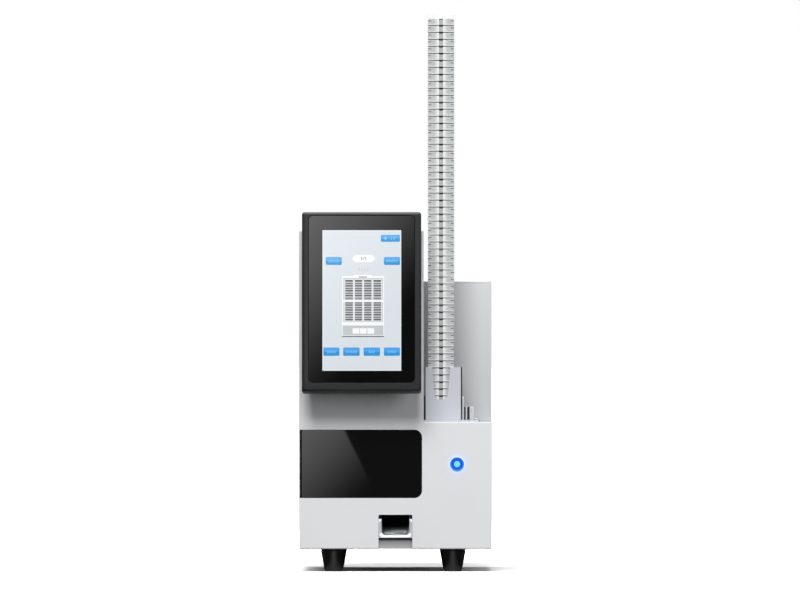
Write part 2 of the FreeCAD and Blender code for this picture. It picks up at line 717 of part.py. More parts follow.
def door_latch():
    """The touch latch behind the door's free end, fixed on the fascia's back."""
    edge = X_LEFT + DOOR_MARGIN + DOOR_WIDTH
    z = DOOR_BOTTOM + DOOR_HEIGHT - LATCH_DROP
    left = edge - LATCH_SHARE * LATCH_WIDTH
    right = left + LATCH_WIDTH
    front = FASCIA + FREE_GAP
    body = slab(left, right, front, front + LATCH_DEPTH, z - LATCH_HALF, z + LATCH_HALF)
    plunger = rod_y((left + edge) / 2, z, LATCH_PLUNGER, FASCIA + FACE_GAP, front + LATCH_ROOT)
    pad = slab(edge + 1, right, FASCIA + FACE_GAP, front + LATCH_ROOT, z - LATCH_HALF, z + LATCH_HALF)
    return body.fuse([plunger, pad])


# Push button


def button_bezel():
    """The lit ring in front of the fascia."""
    ring = rod_y(BUTTON_X, BUTTON_Z, BEZEL_RADIUS, -BEZEL_PROUD, 0)
    front = [edge for edge in ring.Edges if abs(edge.CenterOfMass.y - Y_FRONT + BEZEL_PROUD) < PICK]
    ring = ring.makeChamfer(BEZEL_CHAMFER, front)
    return ring.cut(rod_y(BUTTON_X, BUTTON_Z, BARREL_BORE, -BEZEL_PROUD - 1, 1))


def button_barrel():
    """The threaded body through the fascia, its nut behind it."""
    barrel = rod_y(BUTTON_X, BUTTON_Z, BARREL_RADIUS, SEAT_GAP, BARREL_LENGTH)
    sides = 6
    corners = [(BUTTON_X + NUT_RADIUS * math.cos(math.tau * i / sides),
                BUTTON_Z + NUT_RADIUS * math.sin(math.tau * i / sides)) for i in range(sides)]
    nut = prism_y(corners, FASCIA + FACE_GAP, FASCIA + FACE_GAP + NUT_THICKNESS)
    bore = rod_y(BUTTON_X, BUTTON_Z, BARREL_BORE, -1, BARREL_LENGTH - BARREL_FLOOR)
    return barrel.fuse(nut).cut(bore)


def button_cap():
    """The pressed cap, dished round its core."""
    cap = rod_y(BUTTON_X, BUTTON_Z, CAP_RADIUS, -BEZEL_PROUD, CAP_STEM)
    return cap.cut(rod_y(BUTTON_X, BUTTON_Z, CORE_RADIUS, -BEZEL_PROUD - 1, 0))


def button_core():
    """The bright lens in the cap."""
    return rod_y(BUTTON_X, BUTTON_Z, CORE_RADIUS - SEAT_GAP, -BEZEL_PROUD + FREE_GAP, -SEAT_GAP)


def button_spring():
    """The coil spring between the cap's stem and the barrel's floor."""
    wire = SPRING_WIRE
    start = CAP_STEM + BUTTON_TRAVEL + FREE_GAP + wire
    height = BARREL_LENGTH - BARREL_FLOOR - FACE_GAP - wire - start
    coil = Part.makeHelix(SPRING_PITCH, height, SPRING_RADIUS)
    section = Part.makePolygon([V(SPRING_RADIUS + wire * x, 0, wire * z)
                                for x, z in ((-1, -1), (1, -1), (1, 1), (-1, 1), (-1, -1))])
    spring = Part.Wire(coil).makePipeShell([section], True, True)
    spring.rotate(V(0, 0, 0), V(1, 0, 0), -90)
    spring.translate(V(BUTTON_X, Y_FRONT + start, BUTTON_Z))
    return spring


# Output chute


def chute_section():
    """The chute's U section as a face in the XZ plane, its bottom at height zero."""
    half = CHUTE_WIDTH / 2
    inner = half - CHUTE_WALL
    lift = CHUTE_WALL + CHUTE_FILLET
    points = [(-half, 0), (half, 0), (half, CHUTE_RISE), (inner, CHUTE_RISE), (inner, lift),
              (inner - CHUTE_FILLET, CHUTE_WALL), (CHUTE_FILLET - inner, CHUTE_WALL), (-inner, lift),
              (-inner, CHUTE_RISE), (-half, CHUTE_RISE)]
    corners = [V(CHUTE_X + x, Y_FRONT, CHUTE_BOTTOM + z) for x, z in points]
    return Part.Face(Part.makePolygon(corners + corners[:1]))


def output_chute():
    """The polished U chute: level at the mouth, then bending up to the drop under the deck."""
    face = chute_section()
    face.translate(V(0, CHUTE_BACKSET, 0))
    level = face.extrude(V(0, CHUTE_STRAIGHT, 0))
    face.translate(V(0, CHUTE_STRAIGHT, 0))
    centre = V(0, Y_FRONT + CHUTE_BACKSET + CHUTE_STRAIGHT, CHUTE_BOTTOM + CHUTE_BEND)
    bend = face.revolve(centre, V(1, 0, 0), CHUTE_SLOPE)
    face.rotate(centre, V(1, 0, 0), CHUTE_SLOPE)
    slope = math.radians(CHUTE_SLOPE)
    ramp = face.extrude(V(0, math.cos(slope), math.sin(slope)) * CHUTE_RAMP)
    chute = level.fuse([bend, ramp]).removeSplitter()
    ceiling = DECK_TOP - DECK_PLATE - SEAM
    return chute.cut(slab(X_LEFT, X_RIGHT, 0, CABINET_DEPTH, ceiling, ceiling + 100))


# Magazine


def cassette(opened):
    """One cassette seen from its slotted end, standing on height zero, its basket opened or not."""
    half = CASSETTE_WIDTH / 2
    high = CASSETTE_PITCH - CASSETTE_SPACE
    shoulder = high - CASSETTE_CORNER
    outline = [(-half, 0), (half, 0), (half, shoulder), (half - CASSETTE_CORNER, high),
               (CASSETTE_CORNER - half, high), (-half, shoulder)]
    body = prism_y(outline, CASSETTE_FRONT, CASSETTE_BACK)
    rim = CASSETTE_RIM
    basket = slab(rim - half, half - rim, CASSETTE_FRONT + 2 * rim, CASSETTE_BACK - 3 * rim,
                  CASSETTE_FLOOR, high + 1)
    slot_back = CASSETTE_FRONT + CASSETTE_SLOT_DEPTH
    slot = slab(-CASSETTE_SLOT / 2, CASSETTE_SLOT / 2, CASSETTE_FRONT - 1, slot_back, SLOT_FLOOR, high + 1)
    label = prism_x([(CASSETTE_BACK - LABEL_SLOPE, high), (CASSETTE_BACK + 1, high),
                     (CASSETTE_BACK + 1, high - LABEL_SLOPE - 1), (CASSETTE_BACK, high - LABEL_SLOPE)],
                    -half - 1, half + 1)
    return body.cut([slot, label, basket] if opened else [slot, label])


def fed_cassette():
    """The lowest cassette, on the track, which the pusher takes along."""
    lowest = cassette(True)
    lowest.translate(V(MAGAZINE_X, 0, STACK_BOTTOM))
    return lowest


def cassette_stack():
    """The cassettes above it; each basket but the top one's is covered by the next, and left solid."""
    covered = cassette(False)
    stack = []
    for i in range(1, CASSETTE_COUNT):
        copy = cassette(True) if i == CASSETTE_COUNT - 1 else covered.copy()
        copy.translate(V(MAGAZINE_X, 0, STACK_BOTTOM + i * CASSETTE_PITCH))
        stack.append(copy)
    return group(stack)


def magazine_sleeve():
    """The clear channel round the stack, open in front between its two lips."""
    half = SLEEVE_WIDTH / 2
    top = STACK_TOP + SLEEVE_PROUD
    outer = slab(MAGAZINE_X - half, MAGAZINE_X + half, MAGAZINE_INSET, SLEEVE_BACK, PLATE_TOP + FACE_GAP, top)
    outer = outer.makeFillet(SLEEVE_WALL * 0.8, edges_along(outer, V(0, 0, 1)))
    inner = half - SLEEVE_WALL
    room = slab(MAGAZINE_X - inner, MAGAZINE_X + inner, MAGAZINE_INSET + SLEEVE_WALL,
                SLEEVE_BACK - SLEEVE_WALL, PLATE_TOP - 1, top + 1)
    slot = slab(MAGAZINE_X - SLEEVE_SLOT / 2, MAGAZINE_X + SLEEVE_SLOT / 2, MAGAZINE_INSET - 1,
                MAGAZINE_INSET + 3, PLATE_TOP - 1, top + 1)
    return outer.cut([room, slot])


def magazine_base_plate():
    """The plate on the step, notched along its front edge."""
    back = BASE_PLATE_FRONT + BASE_PLATE_DEPTH
    plate = slab(X_TOWER + SEAM, BASE_PLATE_RIGHT, BASE_PLATE_FRONT, back, STEP_TOP, PLATE_TOP)
    notches = [slab(X_RIGHT + place, X_RIGHT + place + width, BASE_PLATE_FRONT - 1,
                    BASE_PLATE_FRONT + NOTCH_DEPTH, STEP_TOP - 1, PLATE_TOP + 1)
               for width, place in NOTCHES]
    return plate.cut([stack_opening(STEP_TOP - 1, PLATE_TOP + 1)] + notches)


def magazine_front_plate():
    """The holder's front, with its tapering U cut down to a round bottom."""
    low = PLATE_TOP + SEAT_GAP
    high = PLATE_TOP + HOLDER_HEIGHT
    d0 = HOLDER_FRONT_FACE
    d1 = d0 + HOLDER_FRONT
    plate = slab(HOLDER_LEFT + HOLDER_SIDE + SEAT_GAP, HOLDER_RIGHT - SEAT_GAP, d0, d1, low, high)
    bottom = PLATE_TOP + CUT_BOTTOM
    waist = bottom + CUT_LOW_HALF
    taper = prism_y([(MAGAZINE_X - CUT_LOW_HALF, waist), (MAGAZINE_X + CUT_LOW_HALF, waist),
                     (MAGAZINE_X + CUT_TOP_HALF, high + 0.1), (MAGAZINE_X - CUT_TOP_HALF, high + 0.1)],
                    d0 - 1, d1 + 1)
    return plate.cut([taper, rod_y(MAGAZINE_X, waist, CUT_LOW_HALF, d0 - 1, d1 + 1)])


def magazine_frame():
    """The dark frame of two sides and a back, open to the front plate."""
    left = HOLDER_LEFT
    right = HOLDER_OUTER
    d0 = HOLDER_FRONT_FACE
    d1 = HOLDER_BACK_FACE + HOLDER_BACK
    high = PLATE_TOP + HOLDER_HEIGHT
    outer = slab(left, right, d0, d1, PLATE_TOP + SEAT_GAP, high)
    room = slab(left + HOLDER_SIDE, HOLDER_RIGHT, d0 - 1, HOLDER_BACK_FACE, PLATE_TOP - 1, high + 1)
    return outer.cut(room)


def magazine_guides():
    """The liner at the sleeve's left and the guide block at its right."""
    half = SLEEVE_WIDTH / 2 + SLEEVE_CLEARANCE
    d0 = MAGAZINE_INSET + GUIDE_SETBACK
    d1 = SLEEVE_BACK - GUIDE_SETBACK
    high = PLATE_TOP + HOLDER_HEIGHT - GUIDE_DROP
    liner = slab(HOLDER_LEFT + HOLDER_SIDE + SEAT_GAP, MAGAZINE_X - half, d0, d1, PLATE_TOP + SEAT_GAP, high)
    block = slab(MAGAZINE_X + half, HOLDER_RIGHT - SEAT_GAP, d0, d1, PLATE_TOP + SEAT_GAP, high)
    return group([liner, block])


def beside_holder(place, width, height, back):
    """An upright piece on the base plate, at a place right of the holder, from the shared front back."""
    offset = SENSOR_PLACES[place]
    d0 = SENSOR_FRONT
    d1 = SENSOR_FRONT + back
    x0 = HOLDER_OUTER + offset
    return slab(x0, x0 + width, d0, d1, PLATE_TOP + SEAT_GAP, PLATE_TOP + height)


def sensor_post():
    """The thin post with its small round cap."""
    post = beside_holder(0, POST_WIDTH, POST_HEIGHT - POST_CAP, POST_DEPTH)
    box = post.BoundBox
    cap = Part.makeBox(POST_WIDTH - 2 * POST_CAP_INSET, POST_DEPTH - 2 * POST_CAP_INSET, 2 * POST_CAP,
                       V(box.XMin + POST_CAP_INSET, box.YMin + POST_CAP_INSET, box.ZMax - POST_CAP))
    return post.fuse(cap)


def level_sensor():
    return beside_holder(1, SENSOR_WIDTH, SENSOR_HEIGHT, SENSOR_DEPTH)


def sensor_bracket():
    """The bright bracket with its foot on the base plate."""
    upright = beside_holder(2, BRACKET_THICKNESS, SENSOR_HEIGHT, BRACKET_DEPTH)
    box = upright.BoundBox
    foot = Part.makeBox(BRACKET_REACH, BRACKET_FOOT, BRACKET_THICKNESS,
                        V(box.XMin, box.YMax - BRACKET_FOOT, box.ZMin))
    return upright.fuse(foot)


def clamp_slide():
    return beside_holder(3, SLIDE_WIDTH, SENSOR_HEIGHT, CLAMP_DEPTH)


def clamp_block():
    """The bright end block with a bevelled top edge."""
    block = beside_holder(4, CLAMP_WIDTH, SENSOR_HEIGHT, CLAMP_DEPTH)
    right = block.BoundBox.XMax
    top = block.BoundBox.ZMax
    corner = edges_along(block, V(0, 1, 0), lambda m: m.x > right - PICK and m.z > top - PICK)
    return block.makeChamfer(CLAMP_CHAMFER, corner)


def stack_guide():
    """The three-sided guide that hangs under the step deck round the lower cassettes."""
    half = CASSETTE_WIDTH / 2 + SLEEVE_CLEARANCE
    wall = GUIDE_WALL
    low = STACK_BOTTOM + CASSETTE_PITCH + GUIDE_LIFT
    high = STEP_TOP - SHEET - FACE_GAP
    d0 = CASSETTE_FRONT + GUIDE_FRONT_INSET
    d1 = CASSETTE_BACK + SLEEVE_CLEARANCE
    outer = slab(MAGAZINE_X - half - wall, MAGAZINE_X + half + wall, d0, d1 + wall, low, high)
    room = slab(MAGAZINE_X - half, MAGAZINE_X + half, d0 - 1, d1, low - 1, high + 1)
    ear = half + GUIDE_EAR
    flange = slab(MAGAZINE_X - ear, MAGAZINE_X + ear, d1 + wall / 2, d1 + wall / 2 + GUIDE_FLANGE,
                  high - wall, high)
    return outer.cut(room).fuse(flange)


# Transport


def deck_posts():
    """Four posts between the tray and the transport deck."""
    low = Z_BOTTOM + SHEET + SEAT_GAP
    high = DECK_TOP - DECK_PLATE - SEAT_GAP
    left = X_LEFT + SHEET + DECK_MARGIN + POST_INSET
    right = DRIVE_X - MOTOR_SIDE / 2 - POST_INSET
    return [hex_post(x, d, POST_RADIUS, low, high)
            for x in (left, right) for d in (DECK_FRONT + POST_INSET, DECK_BACK - POST_INSET)]


def transport_deck():
    """The plate that carries track, spindles and guides, cut out over the chute, on its posts."""
    x0 = X_LEFT + SHEET + DECK_MARGIN
    x1 = X_RIGHT - SHEET - DECK_MARGIN
    plate = slab(x0, x1, DECK_FRONT, DECK_BACK, DECK_TOP - DECK_PLATE, DECK_TOP)
    half = CASSETTE_WIDTH / 2 + 1
    drop = slab(CHUTE_X - half, CHUTE_X + half, CASSETTE_FRONT - DROP_ROOM, CASSETTE_BACK + DROP_ROOM,
                0, DECK_TOP + 1)
    side = MOTOR_SIDE / 2 + FREE_GAP
    motor = slab(DRIVE_X - side, DRIVE_X + side, motor_front() - FREE_GAP,
                 motor_front() + MOTOR_LENGTH + FREE_GAP, 0, DECK_TOP + 1)
    return group([plate.cut([drop, motor])] + deck_posts())


def feed_track():
    """The slotted table on which the pusher slides the bottom cassette to the drop."""
    d0 = CASSETTE_FRONT + TRACK_FRONT_INSET
    d1 = CASSETTE_BACK + TRACK_BACK_REACH
    foot_z = DECK_TOP + SEAT_GAP
    under = TRACK_TOP - TRACK_PLATE
    fence = CASSETTE_BACK + SLEEVE_ROOM
    outline = [(d0, foot_z), (d0 + TRACK_WALL, foot_z), (d0 + TRACK_WALL, under), (d1 - TRACK_WALL, under),
               (d1 - TRACK_WALL, foot_z), (d1, foot_z), (d1, TRACK_TOP + TRACK_FENCE),
               (fence, TRACK_TOP + TRACK_FENCE),
               (fence, TRACK_TOP), (d0, TRACK_TOP)]
    track = prism_x(outline, CHUTE_X + TRACK_END, TRACK_RIGHT)
    half = TRACK_SLOT / 2
    slot = slab(CHUTE_X + TRACK_END + TRACK_SLOT_INSET, TRACK_RIGHT - TRACK_SLOT_INSET,
                CASSETTE_MIDDLE - half, CASSETTE_MIDDLE + half, under - 1, TRACK_TOP + 1)
    shaft_way = slab(DRIVE_X - SHAFT_WAY, DRIVE_X + SHAFT_WAY, d1 - TRACK_WALL - 1, d1 + 1,
                     PULLEY_Z - SHAFT_WAY, PULLEY_Z + SHAFT_WAY)
    return track.cut([slot, shaft_way])


def feed_pusher():
    """The pusher plate with its stem down to the belt."""
    z0 = TRACK_TOP + PUSHER_LIFT
    block = slab(PUSHER_FRONT, PUSHER_FRONT + PUSHER_LENGTH, CASSETTE_FRONT + PUSHER_SET_BACK,
                 CASSETTE_BACK - PUSHER_SET_BACK,
                 z0, z0 + PUSHER_HEIGHT)
    front = edges_along(block, V(0, 0, 1), lambda middle: middle.x < PUSHER_FRONT + PICK)
    block = block.makeFillet(PUSHER_ROUND, front)
    half = TRACK_SLOT / 2 - SLEEVE_ROOM
    stem_x = PUSHER_FRONT + STEM_INSET
    stem = slab(stem_x, stem_x + STEM_LENGTH, CASSETTE_MIDDLE - half, CASSETTE_MIDDLE + half,
                PULLEY_Z + PULLEY_RADIUS + BELT_THICKNESS + FREE_GAP, z0)
    return block.fuse(stem)


def pulley(x):
    """A belt pulley with one flange and its shaft hole."""
    low = CASSETTE_MIDDLE - PULLEY_WIDTH / 2
    high = CASSETTE_MIDDLE + PULLEY_WIDTH / 2
    body = rod_y(x, PULLEY_Z, PULLEY_RADIUS - FREE_GAP, low, high)
    flange = rod_y(x, PULLEY_Z, PULLEY_RADIUS + PULLEY_FLANGE, high, high + FLANGE_THICKNESS)
    bore = rod_y(x, PULLEY_Z, SHAFT_RADIUS + RUNNING_GAP, low - 1, high + FLANGE_THICKNESS + 1)
    return body.fuse(flange).cut(bore)


def drive_pulley():
    """The motor's pulley, with the shaft that turns in the motor."""
    shaft = rod_y(DRIVE_X, PULLEY_Z, SHAFT_RADIUS + RUNNING_GAP, CASSETTE_MIDDLE - PULLEY_WIDTH / 2,
                  CASSETTE_BACK + SHAFT_REACH)
    return pulley(DRIVE_X).fuse(shaft)


def idler_pulley():
    return pulley(IDLER_X)


def idler_bracket():
    """The block that carries the idler's shaft on the deck."""
    d0 = CASSETTE_MIDDLE + PULLEY_WIDTH / 2 + FLANGE_THICKNESS + IDLER_GAP
    block = slab(IDLER_X - IDLER_HALF, IDLER_X + IDLER_HALF, d0, d0 + IDLER_HALF, DECK_TOP + SEAT_GAP,
                 PULLEY_Z + IDLER_HALF)
    shaft = rod_y(IDLER_X, PULLEY_Z, SHAFT_RADIUS, CASSETTE_MIDDLE - PULLEY_WIDTH / 2 - FLANGE_THICKNESS,
                  d0 + IDLER_HALF / 2)
    return block.fuse(shaft)


def feed_belt():
    """The closed belt round both pulleys."""
    half = BELT_WIDTH / 2
    d0 = CASSETTE_MIDDLE - half
    d1 = CASSETTE_MIDDLE + half

    def loop(radius):
        run = slab(IDLER_X, DRIVE_X, d0, d1, PULLEY_Z - radius, PULLEY_Z + radius)
        return run.fuse([rod_y(x, PULLEY_Z, radius, d0, d1) for x in (IDLER_X, DRIVE_X)])

    return loop(PULLEY_RADIUS + BELT_THICKNESS).cut(loop(PULLEY_RADIUS)).removeSplitter()


def motor_front():
    """Depth of the feed motor's front, against the track's back."""
    return CASSETTE_BACK + TRACK_BACK_REACH + FACE_GAP


def feed_motor():
    """The square stepper bolted behind the track, in a notch of the deck."""
    half = MOTOR_SIDE / 2
    d0 = motor_front()
    body = slab(DRIVE_X - half, DRIVE_X + half, d0, d0 + MOTOR_LENGTH, PULLEY_Z - half, PULLEY_Z + half)
    body = body.makeChamfer(MOTOR_CHAMFER, edges_along(body, V(0, 1, 0)))
    bore = rod_y(DRIVE_X, PULLEY_Z, SHAFT_RADIUS + 2 * RUNNING_GAP, d0 - 1, d0 + MOTOR_BORE_DEPTH)
    return body.cut(bore)


# Printing


def spool(x, d, radius):
    """A wound ribbon spool between two flanges."""
    flange_low = rod_z(x, d, SPOOL_FLANGE, SPOOL_BOTTOM, SPOOL_BOTTOM + FLANGE_THICKNESS)
    flange_high = rod_z(x, d, SPOOL_FLANGE, SPOOL_TOP - FLANGE_THICKNESS, SPOOL_TOP)
    wound = rod_z(x, d, radius, SPOOL_BOTTOM, SPOOL_TOP)
    bore = rod_z(x, d, SPOOL_BORE, SPOOL_BOTTOM - 1, SPOOL_TOP + 1)
    notches = [slab(x + side * SPOOL_FLANGE - SPOOL_NOTCH, x + side * SPOOL_FLANGE + SPOOL_NOTCH,
                    d - SPOOL_NOTCH, d + SPOOL_NOTCH, SPOOL_TOP - FLANGE_THICKNESS - SEAT_GAP, SPOOL_TOP + 1)
               for side in (-1, 1)]
    return wound.fuse([flange_low, flange_high]).cut([bore] + notches)


def supply_spool():
    return spool(SUPPLY_X, SUPPLY_D, SUPPLY_RADIUS)


def takeup_spool():
    return spool(TAKEUP_X, TAKEUP_D, TAKEUP_RADIUS)


def ribbon_spindles():
    """The two stepped spindles on the deck."""
    spindles = []
    for x, d in ((SUPPLY_X, SUPPLY_D), (TAKEUP_X, TAKEUP_D)):
        base = hex_post(x, d, SPINDLE_BASE, DECK_TOP + SEAT_GAP, DECK_TOP + SPINDLE_BASE_TOP)
        shank = hex_post(x, d, SPINDLE_SHANK, DECK_TOP + SEAT_GAP, SPOOL_BOTTOM - SPOOL_GAP)
        tip = rod_z(x, d, SPOOL_BORE - RUNNING_GAP, DECK_TOP + SEAT_GAP, SPOOL_TOP + SPINDLE_TIP)
        spindles.append(base.fuse([shank, tip]))
    return group(spindles)


def guide_places():
    """The three ribbon guides: left and right of the print line, and the right front one."""
    front = RIBBON_FRONT + GUIDE_RADIUS
    return [(GUIDE_LEFT_X, GUIDE_REAR_D), (GUIDE_RIGHT_X, GUIDE_REAR_D), (GUIDE_RIGHT_X, front)]


def guide_posts():
    high = RIBBON_BOTTOM + RIBBON_BAND + GUIDE_POST_TOP
    return group([rod_z(x, d, GUIDE_RADIUS - FACE_GAP, DECK_TOP + SEAT_GAP, high) for x, d in guide_places()])


def ribbon_film():
    """The ribbon: from the supply spool past the print line, round two guides and back to the left."""
    t = RIBBON_THICKNESS
    z0 = RIBBON_BOTTOM
    z1 = z0 + RIBBON_BAND
    left, right, front = guide_places()
    start = SUPPLY_D - SUPPLY_RADIUS - FREE_GAP - t
    feed = prism_z([(SUPPLY_X, start), (left[0], RIBBON_REAR), (left[0], RIBBON_REAR + t),
                    (SUPPLY_X, start + t)], z0, z1)
    line = slab(left[0], right[0], RIBBON_REAR, RIBBON_REAR + t, z0, z1)
    outer = right[0] + GUIDE_RADIUS
    turn = slab(outer, outer + t, front[1], right[1], z0, z1)
    back = slab(TAKEUP_X, front[0], RIBBON_FRONT - t, RIBBON_FRONT, z0, z1)
    bends = []
    for (x, d), low, high in ((right, 0, 1), (front, -1, 0)):
        ring = rod_z(x, d, GUIDE_RADIUS + t, z0, z1).cut(rod_z(x, d, GUIDE_RADIUS, z0 - 1, z1 + 1))
        bends.append(ring.common(slab(x, x + 2 * GUIDE_RADIUS, d + low * 2 * GUIDE_RADIUS,
                                      d + high * 2 * GUIDE_RADIUS, z0, z1)))
    return feed.fuse([line, turn, back] + bends)


def head_bracket():
    """The bracket inside the ribbon's loop, on the deck."""
    middle = (GUIDE_LEFT_X + GUIDE_RIGHT_X) / 2
    half = HEAD_WIDTH / 2 - HEAD_BRACKET_ROUND
    d0 = head_front() - FREE_GAP - HEAD_ARM
    post = slab(middle - half, middle + half, d0, d0 + HEAD_ARM, DECK_TOP + SEAT_GAP,
                RIBBON_BOTTOM + RIBBON_BAND + HEAD_BRACKET_TOP)
    return post.makeFillet(HEAD_BRACKET_ROUND, edges_along(post, V(0, 1, 0), lambda m: m.z > RIBBON_BOTTOM))


def head_front():
    """Depth of the print head's front when it is drawn back."""
    return RIBBON_REAR - HEAD_GAP - HEAD_TRAVEL - HEAD_DEPTH


def print_head():
    """The thermal head with its bevelled print edge."""
    middle = (GUIDE_LEFT_X + GUIDE_RIGHT_X) / 2
    half = HEAD_WIDTH / 2
    low = RIBBON_BOTTOM + RIBBON_BAND / 2 - HEAD_HEIGHT / 2
    high = low + HEAD_HEIGHT
    d0 = head_front()
    d1 = d0 + HEAD_DEPTH
    outline = [(d0, low), (d1 - HEAD_BEVEL, low), (d1, low + HEAD_BEVEL_HEIGHT),
               (d1, high - HEAD_BEVEL_HEIGHT), (d1 - HEAD_BEVEL, high), (d0, high)]
    return prism_x(outline, middle - half, middle + half)


def ribbon_motor():
    """The small round motor under the take-up spindle."""
    top = DECK_TOP - DECK_PLATE - FACE_GAP
    return rod_z(TAKEUP_X, TAKEUP_D, RIBBON_MOTOR_RADIUS, top - RIBBON_MOTOR_LENGTH, top)


# Rear services


def port_places():
    """Left, right and height of the two data ports."""
    left = INLET_X - INLET_WIDTH / 2
    return [(left + x0, left + x1, high) for x0, x1, high in PORT_SIZES]


def data_ports():
    ports = []
    for x0, x1, high in port_places():
        shell = slab(x0, x1, CABINET_DEPTH - PORT_DEPTH, CABINET_DEPTH + PORT_PROUD, PORT_Z, PORT_Z + high)
        socket = slab(x0 + PORT_WALL, x1 - PORT_WALL, CABINET_DEPTH - PORT_SOCKET_DEPTH, CABINET_DEPTH + 1,
                      PORT_Z + PORT_WALL, PORT_Z + high - PORT_WALL)
        ports.append(shell.cut(socket))
    left = port_places()[0][0] - CARD_MARGIN
    right = port_places()[-1][1] + CARD_MARGIN
    back = CABINET_DEPTH - SHEET - FACE_GAP
    under = PORT_Z - FACE_GAP - CARD_THICKNESS
    card = slab(left, right, CABINET_DEPTH - CARD_DEPTH, back, under, PORT_Z - FACE_GAP)
    tab = slab(left, right, back - PORT_WALL, back, PORT_Z - TAB_HEIGHT, under)
    return group(ports + [card.fuse(tab)])


def power_inlet():
    """The mains inlet module: flange, socket with three blades, and the rocker's frame above."""
    half = INLET_WIDTH / 2
    low = INLET_Z - INLET_HEIGHT / 2
    high = INLET_Z + INLET_HEIGHT / 2
    seat = CABINET_DEPTH + FACE_GAP
    out = CABINET_DEPTH + REAR_REACH
    body = slab(INLET_X - half, INLET_X + half, CABINET_DEPTH - INLET_DEPTH, seat, low, high)
    wide = half + INLET_FLANGE
    flange = slab(INLET_X - wide, INLET_X + wide, seat, out, low - INLET_FLANGE, high + INLET_FLANGE)
    flange = flange.makeFillet(INLET_CORNER, edges_along(flange, V(0, 1, 0)))
    floor = CABINET_DEPTH - SOCKET_DEPTH
    sill = low + SOCKET_LIFT
    socket = slab(INLET_X - SOCKET_WIDTH / 2, INLET_X + SOCKET_WIDTH / 2, floor, out + 1, sill,
                  sill + SOCKET_HEIGHT)
    upper = edges_along(socket, V(0, 1, 0), lambda m: m.z > sill + SOCKET_HEIGHT / 2)
    socket = socket.makeChamfer(SOCKET_CHAMFER, upper)
    blades = [slab(INLET_X + x - BLADE_WIDTH / 2, INLET_X + x + BLADE_WIDTH / 2, floor - 1,
                   CABINET_DEPTH - BLADE_TIP, low + z, low + z + BLADE_HEIGHT) for x, z in BLADES]
    room_top = high - ROCKER_ROOM_TOP
    room = slab(INLET_X - ROCKER_ROOM / 2, INLET_X + ROCKER_ROOM / 2, CABINET_DEPTH - ROCKER_ROOM_DEPTH,
                out + 1, room_top - ROCKER_ROOM_HEIGHT, room_top)
    return body.fuse(flange).cut([socket, room]).fuse(blades)


def rocker_axis():
    """Depth and height of the rocker's pin."""
    return CABINET_DEPTH - ROCKER_DEPTH, INLET_Z + INLET_HEIGHT / 2 - ROCKER_DROP


def power_rocker():
    """The rocker with its two slanted faces, at its off position, on its pin."""
    d, z = rocker_axis()
    outline = [(d - 3, z - 3), (d - 3, z + 3), (d + 5.5, z + 6.6), (d + 4.2, z), (d + 5.5, z - 6.6)]
    wedge = prism_x(outline, INLET_X - ROCKER_WIDTH / 2, INLET_X + ROCKER_WIDTH / 2)
    axle = rod_x(d, z, ROCKER_PIN, INLET_X - ROCKER_PIN_HALF, INLET_X + ROCKER_PIN_HALF)
    rocker = wedge.fuse(axle)
    rocker.rotate(V(INLET_X, Y_FRONT + d, z), V(1, 0, 0), -ROCKER_SWING / 2)
    return rocker


def fan_frame():
    """The square fan frame with its bore, spokes and motor base."""
    d1 = CABINET_DEPTH - SHEET - FACE_GAP
    d0 = d1 - FAN_THICKNESS
    half = FAN_SIZE / 2
    frame = slab(FAN_X - half, FAN_X + half, d0, d1, FAN_Z - half, FAN_Z + half)
    frame = frame.makeChamfer(FAN_CHAMFER, edges_along(frame, V(0, 1, 0)))
    frame = frame.cut(rod_y(FAN_X, FAN_Z, half - FAN_WALL, d0 - 1, d1 + 1))
    back = d0 + FAN_BASE
    base = rod_y(FAN_X, FAN_Z, FAN_HUB, d0, back)
    reach = half - FAN_WALL / 2
    bar = FAN_SPOKE_HALF
    spokes = [slab(FAN_X - reach, FAN_X + reach, d0, back, FAN_Z - bar, FAN_Z + bar),
              slab(FAN_X - bar, FAN_X + bar, d0, back, FAN_Z - reach, FAN_Z + reach)]
    pin = rod_y(FAN_X, FAN_Z, FAN_PIN_RADIUS, back, back + FAN_PIN_LENGTH)
    return frame.fuse([base, pin] + spokes)


def fan_blade(d0, d1):
    """One flat blade, pitched between the front and the back of the hub."""
    inner = FAN_HUB - BLADE_THICKNESS
    outer = FAN_SIZE / 2 - BLADE_ROOM
    thick = BLADE_THICKNESS
    chord = (d1 - d0) / math.cos(math.radians(FAN_PITCH)) - thick
    blade = Part.makeBox(outer - inner, chord, thick, V(inner, -chord / 2, -thick / 2))
    blade.rotate(V(0, 0, 0), V(1, 0, 0), FAN_PITCH)
    blade.translate(V(FAN_X, Y_FRONT + (d0 + d1) / 2, FAN_Z))
    return blade


def fan_rotor():
    """The hub cup with its blades, turning on the frame's pin."""
    d1 = CABINET_DEPTH - SHEET - HUB_REAR_ROOM
    d0 = d1 - FAN_THICKNESS + HUB_FREE_ENDS
    hub = rod_y(FAN_X, FAN_Z, FAN_HUB, d0, d1)
    blades = []
    for i in range(FAN_BLADES):
        blade = fan_blade(d0 + BLADE_END, d1 - BLADE_END)
        blade.rotate(V(FAN_X, 0, FAN_Z), V(0, 1, 0), 360 * i / FAN_BLADES)
        blades.append(blade)
    bore = rod_y(FAN_X, FAN_Z, FAN_PIN_RADIUS + RUNNING_GAP, d0 - 1, d0 + FAN_BASE + FAN_PIN_LENGTH)
    return hub.fuse(blades).cut(bore)


